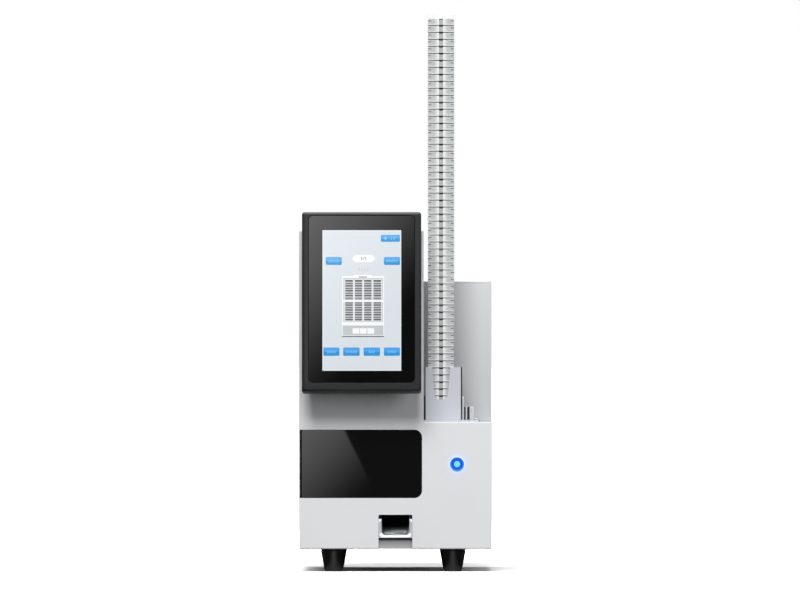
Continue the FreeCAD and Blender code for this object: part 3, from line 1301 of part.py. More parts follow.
def power_supply():
    """The power supply's folded case, its terminal step at the front."""
    width, depth, height = SUPPLY_BOX
    x0 = X_LEFT + SHEET + SUPPLY_BOX_INSET
    d0 = CABINET_DEPTH - SUPPLY_BOX_BACK - depth
    z0 = Z_BOTTOM + SHEET + SEAT_GAP
    ledge = z0 + height * TERMINAL_SHARE
    case = slab(x0, x0 + width, d0, d0 + depth, z0, z0 + height)
    step = slab(x0 - 1, x0 + width + 1, d0 - 1, d0 + TERMINAL_STEP, ledge, z0 + height + 1)
    places = [x0 + TERMINAL_WIDTH + i * TERMINAL_PITCH for i in range(TERMINAL_COUNT)]
    terminals = [slab(x, x + TERMINAL_WIDTH, d0 + 3, d0 + TERMINAL_STEP - 3, ledge - FACE_GAP,
                      ledge + TERMINAL_HEIGHT) for x in places]
    return case.cut(step).fuse(terminals)


def control_board():
    """The main board upright beside the left cover, with its chips and standoffs."""
    length, height, thick = BOARD_SIZE
    x0 = X_LEFT + SHEET + BOARD_STANDOFF
    d0 = STEP_DEPTH + BOARD_SETBACK
    z0 = INLET_Z + INLET_HEIGHT + BOARD_LIFT
    board = slab(x0, x0 + thick, d0, d0 + length, z0, z0 + height)
    chips = [slab(x0 + thick, x0 + thick + high, d0 + d, d0 + d + wide, z0 + z, z0 + z + tall)
             for d, z, wide, tall, high in CHIPS]
    half = STANDOFF_HALF
    inset = STANDOFF_INSET
    standoffs = [slab(X_LEFT + SHEET + FACE_GAP, x0, d0 + d - half, d0 + d + half,
                      z0 + z - half, z0 + z + half)
                 for d in (inset, length - inset) for z in (inset, height - inset)]
    return board.fuse(chips + standoffs)


PARTS = [
    front_fascia, base_tray, left_side_cover, right_side_cover, step_deck, inner_corner_panel, tower_cap,
    top_cover, rear_panel, rubber_feet, display_bezel, display_glass, display_lcd, display_back_shell,
    display_bracket, ribbon_door, door_hinge_pins, door_latch, button_bezel, button_barrel, button_cap,
    button_core, button_spring, output_chute, fed_cassette, cassette_stack, magazine_sleeve,
    magazine_base_plate, magazine_front_plate, magazine_frame, magazine_guides, sensor_post, level_sensor,
    sensor_bracket, clamp_slide, clamp_block, stack_guide, transport_deck, feed_track, feed_pusher,
    drive_pulley, idler_pulley, idler_bracket, feed_belt, feed_motor, supply_spool, takeup_spool,
    ribbon_spindles, guide_posts, ribbon_film, head_bracket, print_head, ribbon_motor, data_ports,
    power_inlet, power_rocker, fan_frame, fan_rotor, power_supply, control_board,
]


def main():
    """Build every piece and write it under its own name."""
    os.makedirs("parts", exist_ok=True)
    for build in PARTS:
        build().exportStep("parts/" + build.__name__ + ".step")


main()
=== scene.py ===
"""Looks of the histology cassette printer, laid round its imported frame.

Sizes in the classes are millimetres in the row frame: X right, Y back, Z up. They become metres
when a mesh is made.
"""
from __future__ import annotations

import json
import logging
import math
from contextlib import contextmanager
from dataclasses import dataclass, field, replace
from enum import Enum, IntEnum
from typing import Iterable, Iterator, Sequence

import bmesh
import bpy
import numpy as np
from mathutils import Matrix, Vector

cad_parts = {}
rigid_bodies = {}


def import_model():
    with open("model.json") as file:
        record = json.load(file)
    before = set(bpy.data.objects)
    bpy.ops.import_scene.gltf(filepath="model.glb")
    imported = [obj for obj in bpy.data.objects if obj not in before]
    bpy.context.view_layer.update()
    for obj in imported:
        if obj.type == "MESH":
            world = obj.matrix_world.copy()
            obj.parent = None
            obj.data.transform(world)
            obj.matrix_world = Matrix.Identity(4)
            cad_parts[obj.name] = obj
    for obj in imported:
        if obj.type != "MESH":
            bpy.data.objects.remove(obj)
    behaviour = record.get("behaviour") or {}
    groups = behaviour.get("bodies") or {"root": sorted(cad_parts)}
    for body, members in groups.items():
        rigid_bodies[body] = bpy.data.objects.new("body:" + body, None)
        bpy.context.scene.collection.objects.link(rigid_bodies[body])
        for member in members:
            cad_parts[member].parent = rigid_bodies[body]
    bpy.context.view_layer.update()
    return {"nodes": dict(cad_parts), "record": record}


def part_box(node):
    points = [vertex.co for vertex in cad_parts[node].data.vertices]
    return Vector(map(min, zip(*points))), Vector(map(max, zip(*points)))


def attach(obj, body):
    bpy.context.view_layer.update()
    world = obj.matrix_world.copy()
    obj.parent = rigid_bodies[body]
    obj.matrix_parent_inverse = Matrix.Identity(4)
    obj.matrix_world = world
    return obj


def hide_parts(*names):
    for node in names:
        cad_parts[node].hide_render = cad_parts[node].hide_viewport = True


for stray in list(bpy.data.objects):
    bpy.data.objects.remove(stray)
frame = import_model()

LOG = logging.getLogger("cassette_printer")
MM = 0.001
Y_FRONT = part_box("front_fascia")[0].y / MM
BODIES = frame["record"]["behaviour"]["bodies"]
BODY_OF = {node: body for body, nodes in BODIES.items() for node in nodes}
SLOT_OF = {row["node"]: row["material_slot"] for row in frame["record"]["subparts"]}
RGB = tuple[int, int, int]
Colour = tuple[float, float, float, float]
Point = tuple[float, float, float]
Box = tuple[float, float, float, float]
Socket = bpy.types.NodeSocket
Sockets = dict[str, Socket]
DARKNESS: Colour = (0.0, 0.0, 0.0, 1.0)
BUMP_STRENGTH = 0.6
SEAT_DEPTH = 0.02


class Axis(Enum):
    """The direction that a turned or extruded piece stands along, as its two side axes and its own."""

    X = ((0, 1, 0), (0, 0, 1), (1, 0, 0))
    Y = ((1, 0, 0), (0, 0, 1), (0, 1, 0))
    Z = ((1, 0, 0), (0, 1, 0), (0, 0, 1))

    def basis(self) -> np.ndarray:
        """The three axes as rows."""
        return np.array(self.value, float)


class Skin(Enum):
    """How the surface of a finish is worked; peel is that of paint."""

    PEEL = "peel"
    GRAIN = "grain"
    BRUSHED = "brushed"
    POLISHED = "polished"


def linear(rgb: RGB) -> Colour:
    """Turn a screen colour into linear light.

    Args:
        rgb: Red, green and blue from 0 to 255.

    Returns:
        The linear colour with full alpha.
    """
    share = np.array(rgb, float) / 255
    light = np.where(share <= 0.04045, share / 12.92, ((share + 0.055) / 1.055) ** 2.4)
    return (float(light[0]), float(light[1]), float(light[2]), 1.0)


class Wiring:
    """A short hand for adding nodes to one tree."""

    def __init__(self, tree: bpy.types.NodeTree) -> None:
        """Keep the tree."""
        self.tree = tree

    def node(self, kind: str, inputs: dict | None = None, **settings: object) -> bpy.types.Node:
        """Add a node.

        Args:
            kind: Its type name after ShaderNode.
            inputs: Values or sockets for its inputs, by name or place.
            **settings: Values for its own properties.

        Returns:
            The new node.
        """
        made = self.tree.nodes.new("ShaderNode" + kind)
        for key, value in settings.items():
            setattr(made, key, value)
        for key, value in (inputs or {}).items():
            self.put(made.inputs[key], value)
        return made

    def put(self, socket: Socket, value: object) -> None:
        """Link a socket into an input, or set its value.

        Args:
            socket: The input.
            value: A socket or a plain value.
        """
        if isinstance(value, Socket):
            self.tree.links.new(value, socket)
        else:
            socket.default_value = value

    def math(self, operation: str, first: object, second: object = 0.0) -> Socket:
        """One sum of two numbers."""
        return self.node("Math", {0: first, 1: second}, operation=operation).outputs[0]

    def mix(self, share: object, first: object, second: object, blend: str = "MIX") -> Socket:
        """A mix of two colours."""
        made = self.node("Mix", {0: share, 6: first, 7: second}, data_type="RGBA", blend_type=blend)
        return made.outputs[2]

    def span(self, value: object, low: float, high: float, to_low: float, to_high: float,
             interpolation: str = "LINEAR") -> Socket:
        """A number carried from one span to another, held at the ends."""
        ends = {0: value, 1: low, 2: high, 3: to_low, 4: to_high}
        return self.node("MapRange", ends, interpolation_type=interpolation).outputs[0]

    def noise(self, vector: object, scale: object, detail: float = 2.0) -> Socket:
        """Soft noise from 0 to 1."""
        return self.node("TexNoise", {"Vector": vector, "Scale": scale, "Detail": detail}).outputs[0]

    def along(self, vector: object, axis: int) -> Socket:
        """One of a position's three coordinates."""
        return self.node("SeparateXYZ", {0: vector}).outputs[axis]

    def away(self, vector: object, centre: Point) -> Socket:
        """How far a position is from a centre."""
        return self.node("VectorMath", {0: vector, 1: centre}, operation="DISTANCE").outputs["Value"]

    def grey(self, value: Socket) -> Socket:
        """A grey of the given brightness."""
        return self.node("CombineColor", {0: value, 1: value, 2: value}).outputs[0]

    def close(self, shader: bpy.types.Node, kind: str = "OutputMaterial") -> None:
        """Link the shader to the tree's output."""
        self.put(self.node(kind).inputs[0], shader.outputs[0])


def blank(made: bpy.types.Material | bpy.types.World) -> Wiring:
    """Switch on the nodes of a new material or world and empty its tree.

    Args:
        made: The material or world.

    Returns:
        The wiring of its tree.
    """
    made.use_nodes = True
    made.node_tree.nodes.clear()
    return Wiring(made.node_tree)


@contextmanager
def opened(mesh: bpy.types.Mesh, source: bpy.types.Mesh | None = None) -> Iterator[bmesh.types.BMesh]:
    """Open a mesh, or a copy of its source, for editing and write the result to the mesh.

    Args:
        mesh: The mesh that is written.
        source: The mesh that is read, where it is another one.

    Yields:
        The mesh under work.
    """
    work = bmesh.new()
    work.from_mesh(source or mesh)
    yield work
    work.to_mesh(mesh)
    work.free()


def stand(name: str, data: bpy.types.ID) -> bpy.types.Object:
    """Make an object of the data and link it into the scene.

    Args:
        name: The object's name.
        data: Its mesh, camera or light.

    Returns:
        The object.
    """
    made = bpy.data.objects.new(name, data)
    bpy.context.scene.collection.objects.link(made)
    return made


def smoothed(mesh: bpy.types.Mesh) -> None:
    """Shade every face of a mesh smooth."""
    mesh.polygons.foreach_set("use_smooth", np.ones(len(mesh.polygons), bool))


class Effect:
    """A node group that more than one finish places, built once."""

    name = "effect"
    inputs: dict[str, tuple[str, object]] = {}
    outputs: dict[str, str] = {}

    def wire(self, w: Wiring, given: Sockets) -> Sockets:
        """Wire the inside of the group and return its outputs by name."""
        raise NotImplementedError

    def tree(self) -> bpy.types.NodeTree:
        """Make the group's tree at its first use.

        Returns:
            The tree, known by the effect's name.
        """
        known = bpy.data.node_groups.get(self.name)
        if known:
            return known
        tree = bpy.data.node_groups.new(self.name, "ShaderNodeTree")
        for label, (kind, default) in self.inputs.items():
            socket = tree.interface.new_socket(name=label, in_out="INPUT", socket_type="NodeSocket" + kind)
            if kind != "Vector":
                socket.default_value = default
        for label, kind in self.outputs.items():
            tree.interface.new_socket(name=label, in_out="OUTPUT", socket_type="NodeSocket" + kind)
        w = Wiring(tree)
        start = tree.nodes.new("NodeGroupInput")
        end = tree.nodes.new("NodeGroupOutput")
        given = {label: start.outputs[label] for label in self.inputs}
        for label, socket in self.wire(w, given).items():
            tree.links.new(socket, end.inputs[label])
        return tree

    def place(self, w: Wiring, **values: object) -> bpy.types.Node:
        """Place the group in a material.

        Args:
            w: The material's wiring.
            **values: Sockets or values for its inputs, with _ for each space.

        Returns:
            The group's node.
        """
        made = w.node("Group", node_tree=self.tree())
        for label, value in values.items():
            w.put(made.inputs[label.replace("_", " ")], value)
        return made


class ColourDrift(Effect):
    """Broad, faint changes of tone."""

    name = "colour_drift"
    inputs = {"Vector": ("Vector", None), "Colour": ("Color", (0.5, 0.5, 0.5, 1)),
              "Amount": ("Float", 0.05), "Size": ("Float", 60.0)}
    outputs = {"Colour": "Color"}

    def wire(self, w: Wiring, given: Sockets) -> Sockets:
        """Darken the colour by noise of the given size, in millimetres.

        Args:
            w: The wiring of the group's tree.
            given: The group's inputs by name.

        Returns:
            The group's outputs by name.
        """
        broad = w.noise(given["Vector"], w.math("DIVIDE", 1 / MM, given["Size"]), 3.0)
        shade = w.math("MULTIPLY", w.span(broad, 0.35, 0.65, 0.0, 1.0), given["Amount"])
        return {"Colour": w.mix(shade, given["Colour"], DARKNESS)}


class FineSkin(Effect):
    """The fine bumps of paint or moulded plastic, as a height and a change of gloss."""

    name = "fine_skin"
    inputs = {"Vector": ("Vector", None), "Size": ("Float", 1.0), "Roughness": ("Float", 0.5),
              "Change": ("Float", 0.1)}
    outputs = {"Height": "Float", "Roughness": "Float"}

    def wire(self, w: Wiring, given: Sockets) -> Sockets:
        """Add two noises, one less than half the size of the other; a broad one turns the gloss.

        Args:
            w: The wiring of the group's tree.
            given: The group's inputs by name.

        Returns:
            The group's outputs by name.
        """
        scale = w.math("DIVIDE", 1 / MM, given["Size"])
        coarse = w.noise(given["Vector"], scale, 1.0)
        fine = w.noise(given["Vector"], w.math("MULTIPLY", scale, 2.3), 2.0)
        height = w.math("ADD", w.math("MULTIPLY", coarse, 0.65), w.math("MULTIPLY", fine, 0.35))
        broad = w.math("SUBTRACT", w.noise(given["Vector"], 22.0, 3.0), 0.5)
        rough = w.math("ADD", given["Roughness"], w.math("MULTIPLY", broad, given["Change"]))
        return {"Height": height, "Roughness": rough}


class Brushing(Effect):
    """The long fine lines that a belt leaves on metal."""

    name = "brushing"
    inputs = {"Vector": ("Vector", None), "Stretch": ("Vector", None), "Roughness": ("Float", 0.3),
              "Change": ("Float", 0.15)}
    outputs = {"Height": "Float", "Roughness": "Float"}

    def wire(self, w: Wiring, given: Sockets) -> Sockets:
        """Multiply a noise's position by the stretch, small along the lines and large across.

        Args:
            w: The wiring of the group's tree.
            given: The group's inputs by name.

        Returns:
            The group's outputs by name.
        """
        factors = {0: given["Vector"], 1: given["Stretch"]}
        place = w.node("VectorMath", factors, operation="MULTIPLY").outputs[0]
        lines = w.span(w.noise(place, 1.0, 4.0), 0.3, 0.7, 0.0, 1.0)
        change = w.math("MULTIPLY", w.math("SUBTRACT", lines, 0.5), given["Change"])
        return {"Height": lines, "Roughness": w.math("ADD", given["Roughness"], change)}


class DustFilm(Effect):
    """A thin pale film on faces that look up."""

    name = "dust_film"
    inputs = {"Vector": ("Vector", None), "Colour": ("Color", (0.5, 0.5, 0.5, 1)),
              "Amount": ("Float", 0.1)}
    outputs = {"Colour": "Color"}
    dust: Colour = (0.42, 0.41, 0.39, 1)

    def wire(self, w: Wiring, given: Sockets) -> Sockets:
        """Mix in a dusty grey by the upward part of the normal times a cloudy noise.

        Args:
            w: The wiring of the group's tree.
            given: The group's inputs by name.

        Returns:
            The group's outputs by name.
        """
        up = w.span(w.along(w.node("NewGeometry").outputs["Normal"], 2), 0.6, 1.0, 0.0, 1.0)
        cloud = w.span(w.noise(given["Vector"], 45.0, 5.0), 0.35, 0.7, 0.3, 1.0)
        mask = w.math("MULTIPLY", w.math("MULTIPLY", up, cloud), given["Amount"])
        return {"Colour": w.mix(mask, given["Colour"], self.dust)}


@dataclass(frozen=True)
class Finish:
    """A surface finish, made into one material at its first use."""

    name: str
    colour: RGB
    roughness: float = 0.5
    metallic: float = 0.0
    skin: Skin = Skin.GRAIN
    skin_size: float = 0.9
    depth: float = 0.02
    change: float = 0.08
    drift: float = 0.05
    drift_size: float = 60.0
    dust: float = 0.0
    stretch: Point = (6.0, 6.0, 900.0)
    specular: float = 0.5

    def material(self) -> bpy.types.Material:
        """The finish's material.

        Returns:
            The material, known by the finish's name.
        """
        known = bpy.data.materials.get(self.name)
        if known:
            return known
        made = bpy.data.materials.new(self.name)
        w = blank(made)
        place = w.node("TexCoord").outputs["Object"]
        shader = w.node("BsdfPrincipled", {"Metallic": self.metallic, "Specular IOR Level": self.specular})
        drift = ColourDrift().place(w, Vector=place, Colour=linear(self.colour), Amount=self.drift,
                                    Size=self.drift_size)
        colour = DustFilm().place(w, Vector=place, Colour=drift.outputs[0], Amount=self.dust).outputs[0]
        gloss = {"Vector": place, "Roughness": self.roughness, "Change": self.change}
        if self.skin is Skin.BRUSHED:
            worked = Brushing().place(w, Stretch=self.stretch, **gloss)
        else:
            worked = FineSkin().place(w, Size=self.skin_size, **gloss)
        w.put(shader.inputs["Roughness"], worked.outputs["Roughness"])
        if self.skin is not Skin.POLISHED:
            bump = w.node("Bump", {"Height": worked.outputs["Height"], "Strength": BUMP_STRENGTH,
                                   "Distance": self.depth * MM})
            w.put(shader.inputs["Normal"], bump.outputs[0])
        w.put(shader.inputs["Base Color"], self.tint(w, place, colour))
        self.extra(w, place, shader)
        w.close(shader)
        return made

    def tint(self, w: Wiring, place: Socket, colour: Socket) -> Socket:
        """The colour as it goes to the shader; a kind of finish may change it."""
        return colour

    def extra(self, w: Wiring, place: Socket, shader: bpy.types.Node) -> None:
        """What a kind of finish adds to the shader."""


@dataclass(frozen=True)
class GlowFinish(Finish):
    """A lit surface, whose light fades from its middle outwards or is even."""

    strength: float = 1.0
    centre: Point | None = None
    reach: float = 4.4
    rim: RGB = (20, 60, 160)
    darkened: float = 0.88

    def tint(self, w: Wiring, place: Socket, colour: Socket) -> Socket:
        """A lit surface keeps only a little colour of its own."""
        return w.mix(self.darkened, colour, DARKNESS)

    def extra(self, w: Wiring, place: Socket, shader: bpy.types.Node) -> None:
        """Add light of the finish's colour; round a centre it turns to the rim colour over the reach.

        Args:
            w: The material's wiring.
            place: The position on the object.
            shader: The material's shader.
        """
        ripple = w.span(w.noise(place, 700.0, 2.0), 0.3, 0.7, 0.96, 1.0)
        tone = w.mix(1.0, linear(self.colour), w.grey(ripple), "MULTIPLY")
        if self.centre:
            away = w.away(place, tuple(v * MM for v in self.centre))
            fade = w.span(away, 0.0, self.reach * MM, 0.0, 1.0)
            tone = w.mix(fade, tone, linear(self.rim))
        w.put(shader.inputs["Emission Color"], tone)
        shader.inputs["Emission Strength"].default_value = self.strength


@dataclass(frozen=True)
class ScreenFinish(Finish):
    """One colour of the lit screen, with the panel's fine dots and a slow fall of light downwards."""

    low: RGB = (0, 0, 0)
    low_z: float = 220.0
    high_z: float = 377.0
    darkened: float = 0.985

    def tint(self, w: Wiring, place: Socket, colour: Socket) -> Socket:
        """An unlit panel is nearly black."""
        return w.mix(self.darkened, colour, DARKNESS)

    def extra(self, w: Wiring, place: Socket, shader: bpy.types.Node) -> None:
        """Add light whose colour at the top turns to the low colour at the bottom, dimmed by dots.

        Args:
            w: The material's wiring.
            place: The position on the object.
            shader: The material's shader.
        """
        share = w.span(w.along(place, 2), self.low_z * MM, self.high_z * MM, 0.0, 1.0)
        tone = w.mix(share, linear(self.low), linear(self.colour))
        dots = w.node("TexVoronoi", {"Vector": place, "Scale": 3500.0}).outputs[0]
        dim = w.grey(w.span(dots, 0.0, 0.8, 1.05, 1.0))
        w.put(shader.inputs["Emission Color"], w.mix(1.0, tone, dim, "MULTIPLY"))
        shader.inputs["Emission Strength"].default_value = 1.0


@dataclass(frozen=True)
class ClearFinish(Finish):
    """Clear plastic, seen through and denser at its edges."""

    alpha: float = 0.1
    edge_alpha: float = 0.5

    def extra(self, w: Wiring, place: Socket, shader: bpy.types.Node) -> None:
        """Let alpha grow where the surface turns away, and break it up by a little noise.

        Args:
            w: The material's wiring.
            place: The position on the object.
            shader: The material's shader.
        """
        facing = w.node("LayerWeight", {"Blend": 0.35}).outputs["Facing"]
        cloud = w.span(w.noise(place, 30.0, 3.0), 0.3, 0.7, 0.85, 1.15)
        alpha = w.math("MULTIPLY", w.span(facing, 0.0, 1.0, self.alpha, self.edge_alpha), cloud)
        w.put(shader.inputs["Alpha"], alpha)


@dataclass(frozen=True)
class PaneFinish(Finish):
    """A clear pane that lets the screen behind it through and still mirrors the room."""

    index: float = 1.45

    def extra(self, w: Wiring, place: Socket, shader: bpy.types.Node) -> None:
        """Full transmission at a glass index."""
        shader.inputs["Transmission Weight"].default_value = 1.0
        shader.inputs["IOR"].default_value = self.index


@dataclass(frozen=True)
class GradedFinish(Finish):
    """A finish that turns to another colour along one axis; each use in this script paints shade with it."""

    along: int = 2
    start: float = 0.0
    end: float = 1.0
    far: RGB = (20, 20, 20)

    def tint(self, w: Wiring, place: Socket, colour: Socket) -> Socket:
        """The coordinate on the axis, from start to end in millimetres, mixes in the far colour."""
        share = w.span(w.along(place, self.along), self.start * MM, self.end * MM, 0.0, 1.0)
        return w.mix(share, colour, linear(self.far))


@dataclass(frozen=True)
class CassetteFinish(Finish):
    """Grey cassette plastic with painted light and shade: pale towards the slot in the middle of its end,
    darker outwards.
    """

    middle_x: float = 50.2
    # the colour of the painted highlight beside the slot
    pale: RGB = (236, 236, 236)
    inner: float = 2.4
    outer: float = 7.4

    def tint(self, w: Wiring, place: Socket, colour: Socket) -> Socket:
        """Carry the colour from pale to grey by the distance from the middle line: a painted highlight in the
        middle, painted shade outwards.

        Args:
            w: The material's wiring.
            place: The position on the object.
            colour: The finish's own grey.

        Returns:
            The colour for the shader.
        """
        away = w.math("ABSOLUTE", w.math("SUBTRACT", w.along(place, 0), self.middle_x * MM))
        share = w.span(away, self.inner * MM, self.outer * MM, 0.0, 1.0, "SMOOTHSTEP")
        return w.mix(share, linear(self.pale), colour)


class Finishes:
    """Every finish of the printer."""

    PAINT = Finish("cover_paint_white", (226, 227, 229), 0.46, skin=Skin.PEEL, skin_size=0.7, depth=0.012,
                   drift=0.02, drift_size=90, dust=0.05)
    # painted shade: the corner wall is painted greyer than the cabinet and darkest low down, for the shade
    # that falls in the corner
    PAINT_WALL_SHADED = GradedFinish("wall_paint_shaded", (194, 195, 197), 0.46, skin=Skin.PEEL, skin_size=0.7,
                              depth=0.012, drift=0.02, start=165.0, end=320.0, far=(214, 215, 217))
    # painted shade: the tray's front under the chute is painted grey, darkest at the top just under the chute
    PAINT_LOW = GradedFinish("tray_paint_shaded", (190, 191, 193), 0.5, skin=Skin.PEEL, skin_size=0.7,
                             depth=0.012, start=24.0, end=36.5, far=(104, 104, 106))
    RUBBER = Finish("foot_rubber_black", (11, 11, 12), 0.2, skin_size=0.5, depth=0.004, change=0.06)
    BEZEL = Finish("bezel_plastic_dark", (32, 33, 34), 0.42, skin_size=0.4, depth=0.012, change=0.1)
    SHELL = Finish("shell_plastic_dark", (22, 23, 24), 0.5, skin_size=0.5, depth=0.02, change=0.1, dust=0.05)
    GLASS = Finish("glass_black_border", (9, 9, 10), 0.04, skin=Skin.POLISHED, change=0.03, drift=0.0)
    PANE = PaneFinish("glass_clear_window", (250, 252, 252), 0.0, skin=Skin.POLISHED, change=0.0, drift=0.0)
    DOOR = Finish("door_acrylic_black", (14, 14, 15), 0.035, skin=Skin.POLISHED, change=0.02, drift=0.0)
    STEEL = Finish("chute_steel_polished", (226, 230, 238), 0.24, 0.2, Skin.BRUSHED, depth=0.002, change=0.1,
                   stretch=(900, 14, 900), drift=0.03)
    # painted highlight: the chute's front lip is a paler, non-metal copy of the steel, for the light that
    # falls on it
    STEEL_PAINTED_HIGHLIGHT = Finish("chute_edge_painted_highlight", (250, 251, 252), 0.3, 0.0, Skin.BRUSHED, depth=0.002,
                        change=0.05, stretch=(900, 14, 900), drift=0.0)
    # painted shade: the inside of the chute turns to near black deeper in, for the shade in the chute
    STEEL_PAINTED_SHADE = GradedFinish("chute_steel_painted_shade", (216, 219, 224), 0.34, 0.2, Skin.BRUSHED, depth=0.002,
                              change=0.1, stretch=(900, 14, 14), along=1, start=Y_FRONT + 43.0,
                              end=Y_FRONT + 57.0, far=(5, 5, 6))
    PIN = Finish("pin_steel_turned", (196, 198, 202), 0.24, 1.0, Skin.BRUSHED, depth=0.003,
                 stretch=(8, 8, 2600))
    SPRING = Finish("spring_steel_drawn", (150, 152, 156), 0.34, 1.0, Skin.BRUSHED, depth=0.003)
    ALUMINIUM = Finish("holder_aluminium_blasted", (210, 213, 221), 0.52, 0.25, Skin.GRAIN, 0.35, depth=0.01,
                       drift=0.03, change=0.1)
    ALUMINIUM_EDGE = Finish("slide_aluminium_bright", (216, 220, 228), 0.3, 0.35, Skin.BRUSHED, depth=0.004,
                            stretch=(14, 14, 1800))
    FRAME_SIDE = Finish("frame_side_grey", (118, 119, 122), 0.5, 0.2, Skin.GRAIN, 0.4, depth=0.008)
    ANODISED = Finish("frame_anodised_dark", (56, 58, 62), 0.42, 0.5, Skin.GRAIN, 0.4, depth=0.008)
    BLACK = Finish("machine_plastic_black", (24, 24, 26), 0.44, skin_size=0.5, depth=0.015, change=0.12)
    SLEEVE = ClearFinish("sleeve_plastic_clear", (236, 240, 243), 0.12, skin=Skin.POLISHED, drift=0.0,
                         alpha=0.045, edge_alpha=0.34)
    CASSETTE = CassetteFinish("cassette_plastic_grey", (196, 197, 198), 0.55, skin_size=0.4, depth=0.02)
    # painted highlight: the band above each joint, the lengthwise lid slats and the sensor post's tip are
    # painted near white for the light on their edges
    CASSETTE_PAINTED_HIGHLIGHT = Finish("cassette_edge_painted_highlight", (238, 238, 238), 0.5, skin_size=0.4, depth=0.01)
    CASSETTE_SLOT = Finish("cassette_slot_grey", (182, 182, 182), 0.6, skin_size=0.4, depth=0.01)
    # painted shade in the joints between cassettes and in the catch recesses
    CASSETTE_GAP = Finish("cassette_gap_shade", (70, 70, 71), 0.7, skin_size=0.4, depth=0.01)
    # painted shade: the open hole over the slot is painted near black
    CASSETTE_HOLE_SHADE = Finish("cassette_hole_painted_shade", (10, 10, 10), 0.8, skin_size=0.4, depth=0.01)
    TRACK = Finish("track_plastic_white", (226, 225, 220), 0.3, skin_size=1.4, depth=0.006, change=0.15)
    RIBBON = Finish("ribbon_film_black", (12, 12, 14), 0.2, skin=Skin.BRUSHED, depth=0.004, change=0.1,
                    stretch=(5, 5, 1500))
    WOUND = Finish("ribbon_roll_black", (16, 16, 18), 0.26, skin=Skin.GRAIN, skin_size=0.3, depth=0.02)
    FLANGE = Finish("spool_plastic_grey", (172, 174, 178), 0.34, skin_size=0.8, depth=0.01)
    BOARD = Finish("board_mask_green", (20, 92, 48), 0.3, skin_size=0.6, depth=0.02, drift=0.2, drift_size=6)
    TIN = Finish("port_metal_tinned", (178, 180, 183), 0.3, 1.0, Skin.BRUSHED, depth=0.004,
                 stretch=(1400, 20, 20))
    ZINC = Finish("case_steel_zinc", (170, 174, 178), 0.36, 1.0, Skin.GRAIN, 6.0, depth=0.004, change=0.25,
                  drift=0.14, drift_size=9)
    SCREW = Finish("screw_steel_bright", (165, 167, 172), 0.28, 1.0, Skin.BRUSHED, depth=0.003,
                   stretch=(1400, 60, 1400))
    RING = GlowFinish("button_ring_lit", (42, 110, 240), 0.4, skin_size=0.8, depth=0.005, strength=0.96)
    RING_SIDE = GlowFinish("button_ring_side", (40, 106, 255), 0.3, strength=9.0)
    CAP = GlowFinish("button_cap_lit", (38, 96, 226), 0.4, strength=0.96)
    CAP_EDGE = GlowFinish("button_cap_edge", (24, 60, 176), 0.4, strength=0.9)
    CORE = GlowFinish("button_core_lit", (132, 236, 252), 0.3, strength=0.9, rim=(70, 200, 244))


DRESS: dict[str, tuple[Finish, float]] = {
    "front_fascia": (Finishes.PAINT, 0.25), "base_tray": (Finishes.PAINT_LOW, 0.3),
    "left_side_cover": (Finishes.PAINT, 0.3), "right_side_cover": (Finishes.PAINT, 0.3),
    "step_deck": (Finishes.PAINT, 0.3), "inner_corner_panel": (Finishes.PAINT_WALL_SHADED, 0.25),
    "tower_cap": (Finishes.PAINT, 0.35), "top_cover": (Finishes.PAINT, 0.4),
    "rear_panel": (Finishes.PAINT, 0.2), "display_bezel": (Finishes.BEZEL, 0.35),
    "display_back_shell": (Finishes.SHELL, 0.3), "display_bracket": (Finishes.SHELL, 0.4),
    "ribbon_door": (Finishes.DOOR, 0.3), "door_latch": (Finishes.BLACK, 0.3),
    "button_barrel": (Finishes.ANODISED, 0.15),
    "magazine_base_plate": (Finishes.ALUMINIUM, 0.2), "magazine_front_plate": (Finishes.ALUMINIUM, 0.25),
    "magazine_guides": (Finishes.BLACK, 0.3),
    "level_sensor": (Finishes.BLACK, 0.2),
    "sensor_bracket": (Finishes.ALUMINIUM_EDGE, 0.5), "clamp_slide": (Finishes.ANODISED, 0.2),
    "clamp_block": (Finishes.ALUMINIUM_EDGE, 0.8), "stack_guide": (Finishes.ANODISED, 0.2),
    "transport_deck": (Finishes.ALUMINIUM, 0.3), "feed_track": (Finishes.TRACK, 0.3),
    "feed_pusher": (Finishes.TRACK, 0.4), "idler_bracket": (Finishes.ALUMINIUM, 0.3),
    "feed_motor": (Finishes.ANODISED, 0.4), "head_bracket": (Finishes.ALUMINIUM, 0.3),
    "print_head": (Finishes.BLACK, 0.3), "power_inlet": (Finishes.BLACK, 0.3),
    "power_rocker": (Finishes.BLACK, 0.4), "data_ports": (Finishes.TIN, 0.15),
    "power_supply": (Finishes.ZINC, 0.4), "fan_frame": (Finishes.BLACK, 0.4),
}
KEPT: dict[str, Finish] = {
    "display_lcd": Finishes.BLACK, "door_hinge_pins": Finishes.PIN, "button_spring": Finishes.SPRING,
    "magazine_sleeve": Finishes.SLEEVE, "drive_pulley": Finishes.ALUMINIUM,
    "idler_pulley": Finishes.ALUMINIUM, "feed_belt": Finishes.BLACK, "ribbon_film": Finishes.RIBBON,
    "ribbon_motor": Finishes.ANODISED, "fan_rotor": Finishes.BLACK, "control_board": Finishes.BOARD,
}


def ring_round(axis: Axis, steps: int) -> tuple[np.ndarray, np.ndarray]:
    """Unit circle round an axis: the cosine of the turn goes to its side, the sine to its rise.

    Args:
        axis: The axis.
        steps: How many points.

    Returns:
        The turns and the points.
    """
    side, rise, _ = axis.basis()
    turn = np.linspace(0, math.tau, steps, endpoint=False)
    return turn, np.cos(turn)[:, None] * side + np.sin(turn)[:, None] * rise


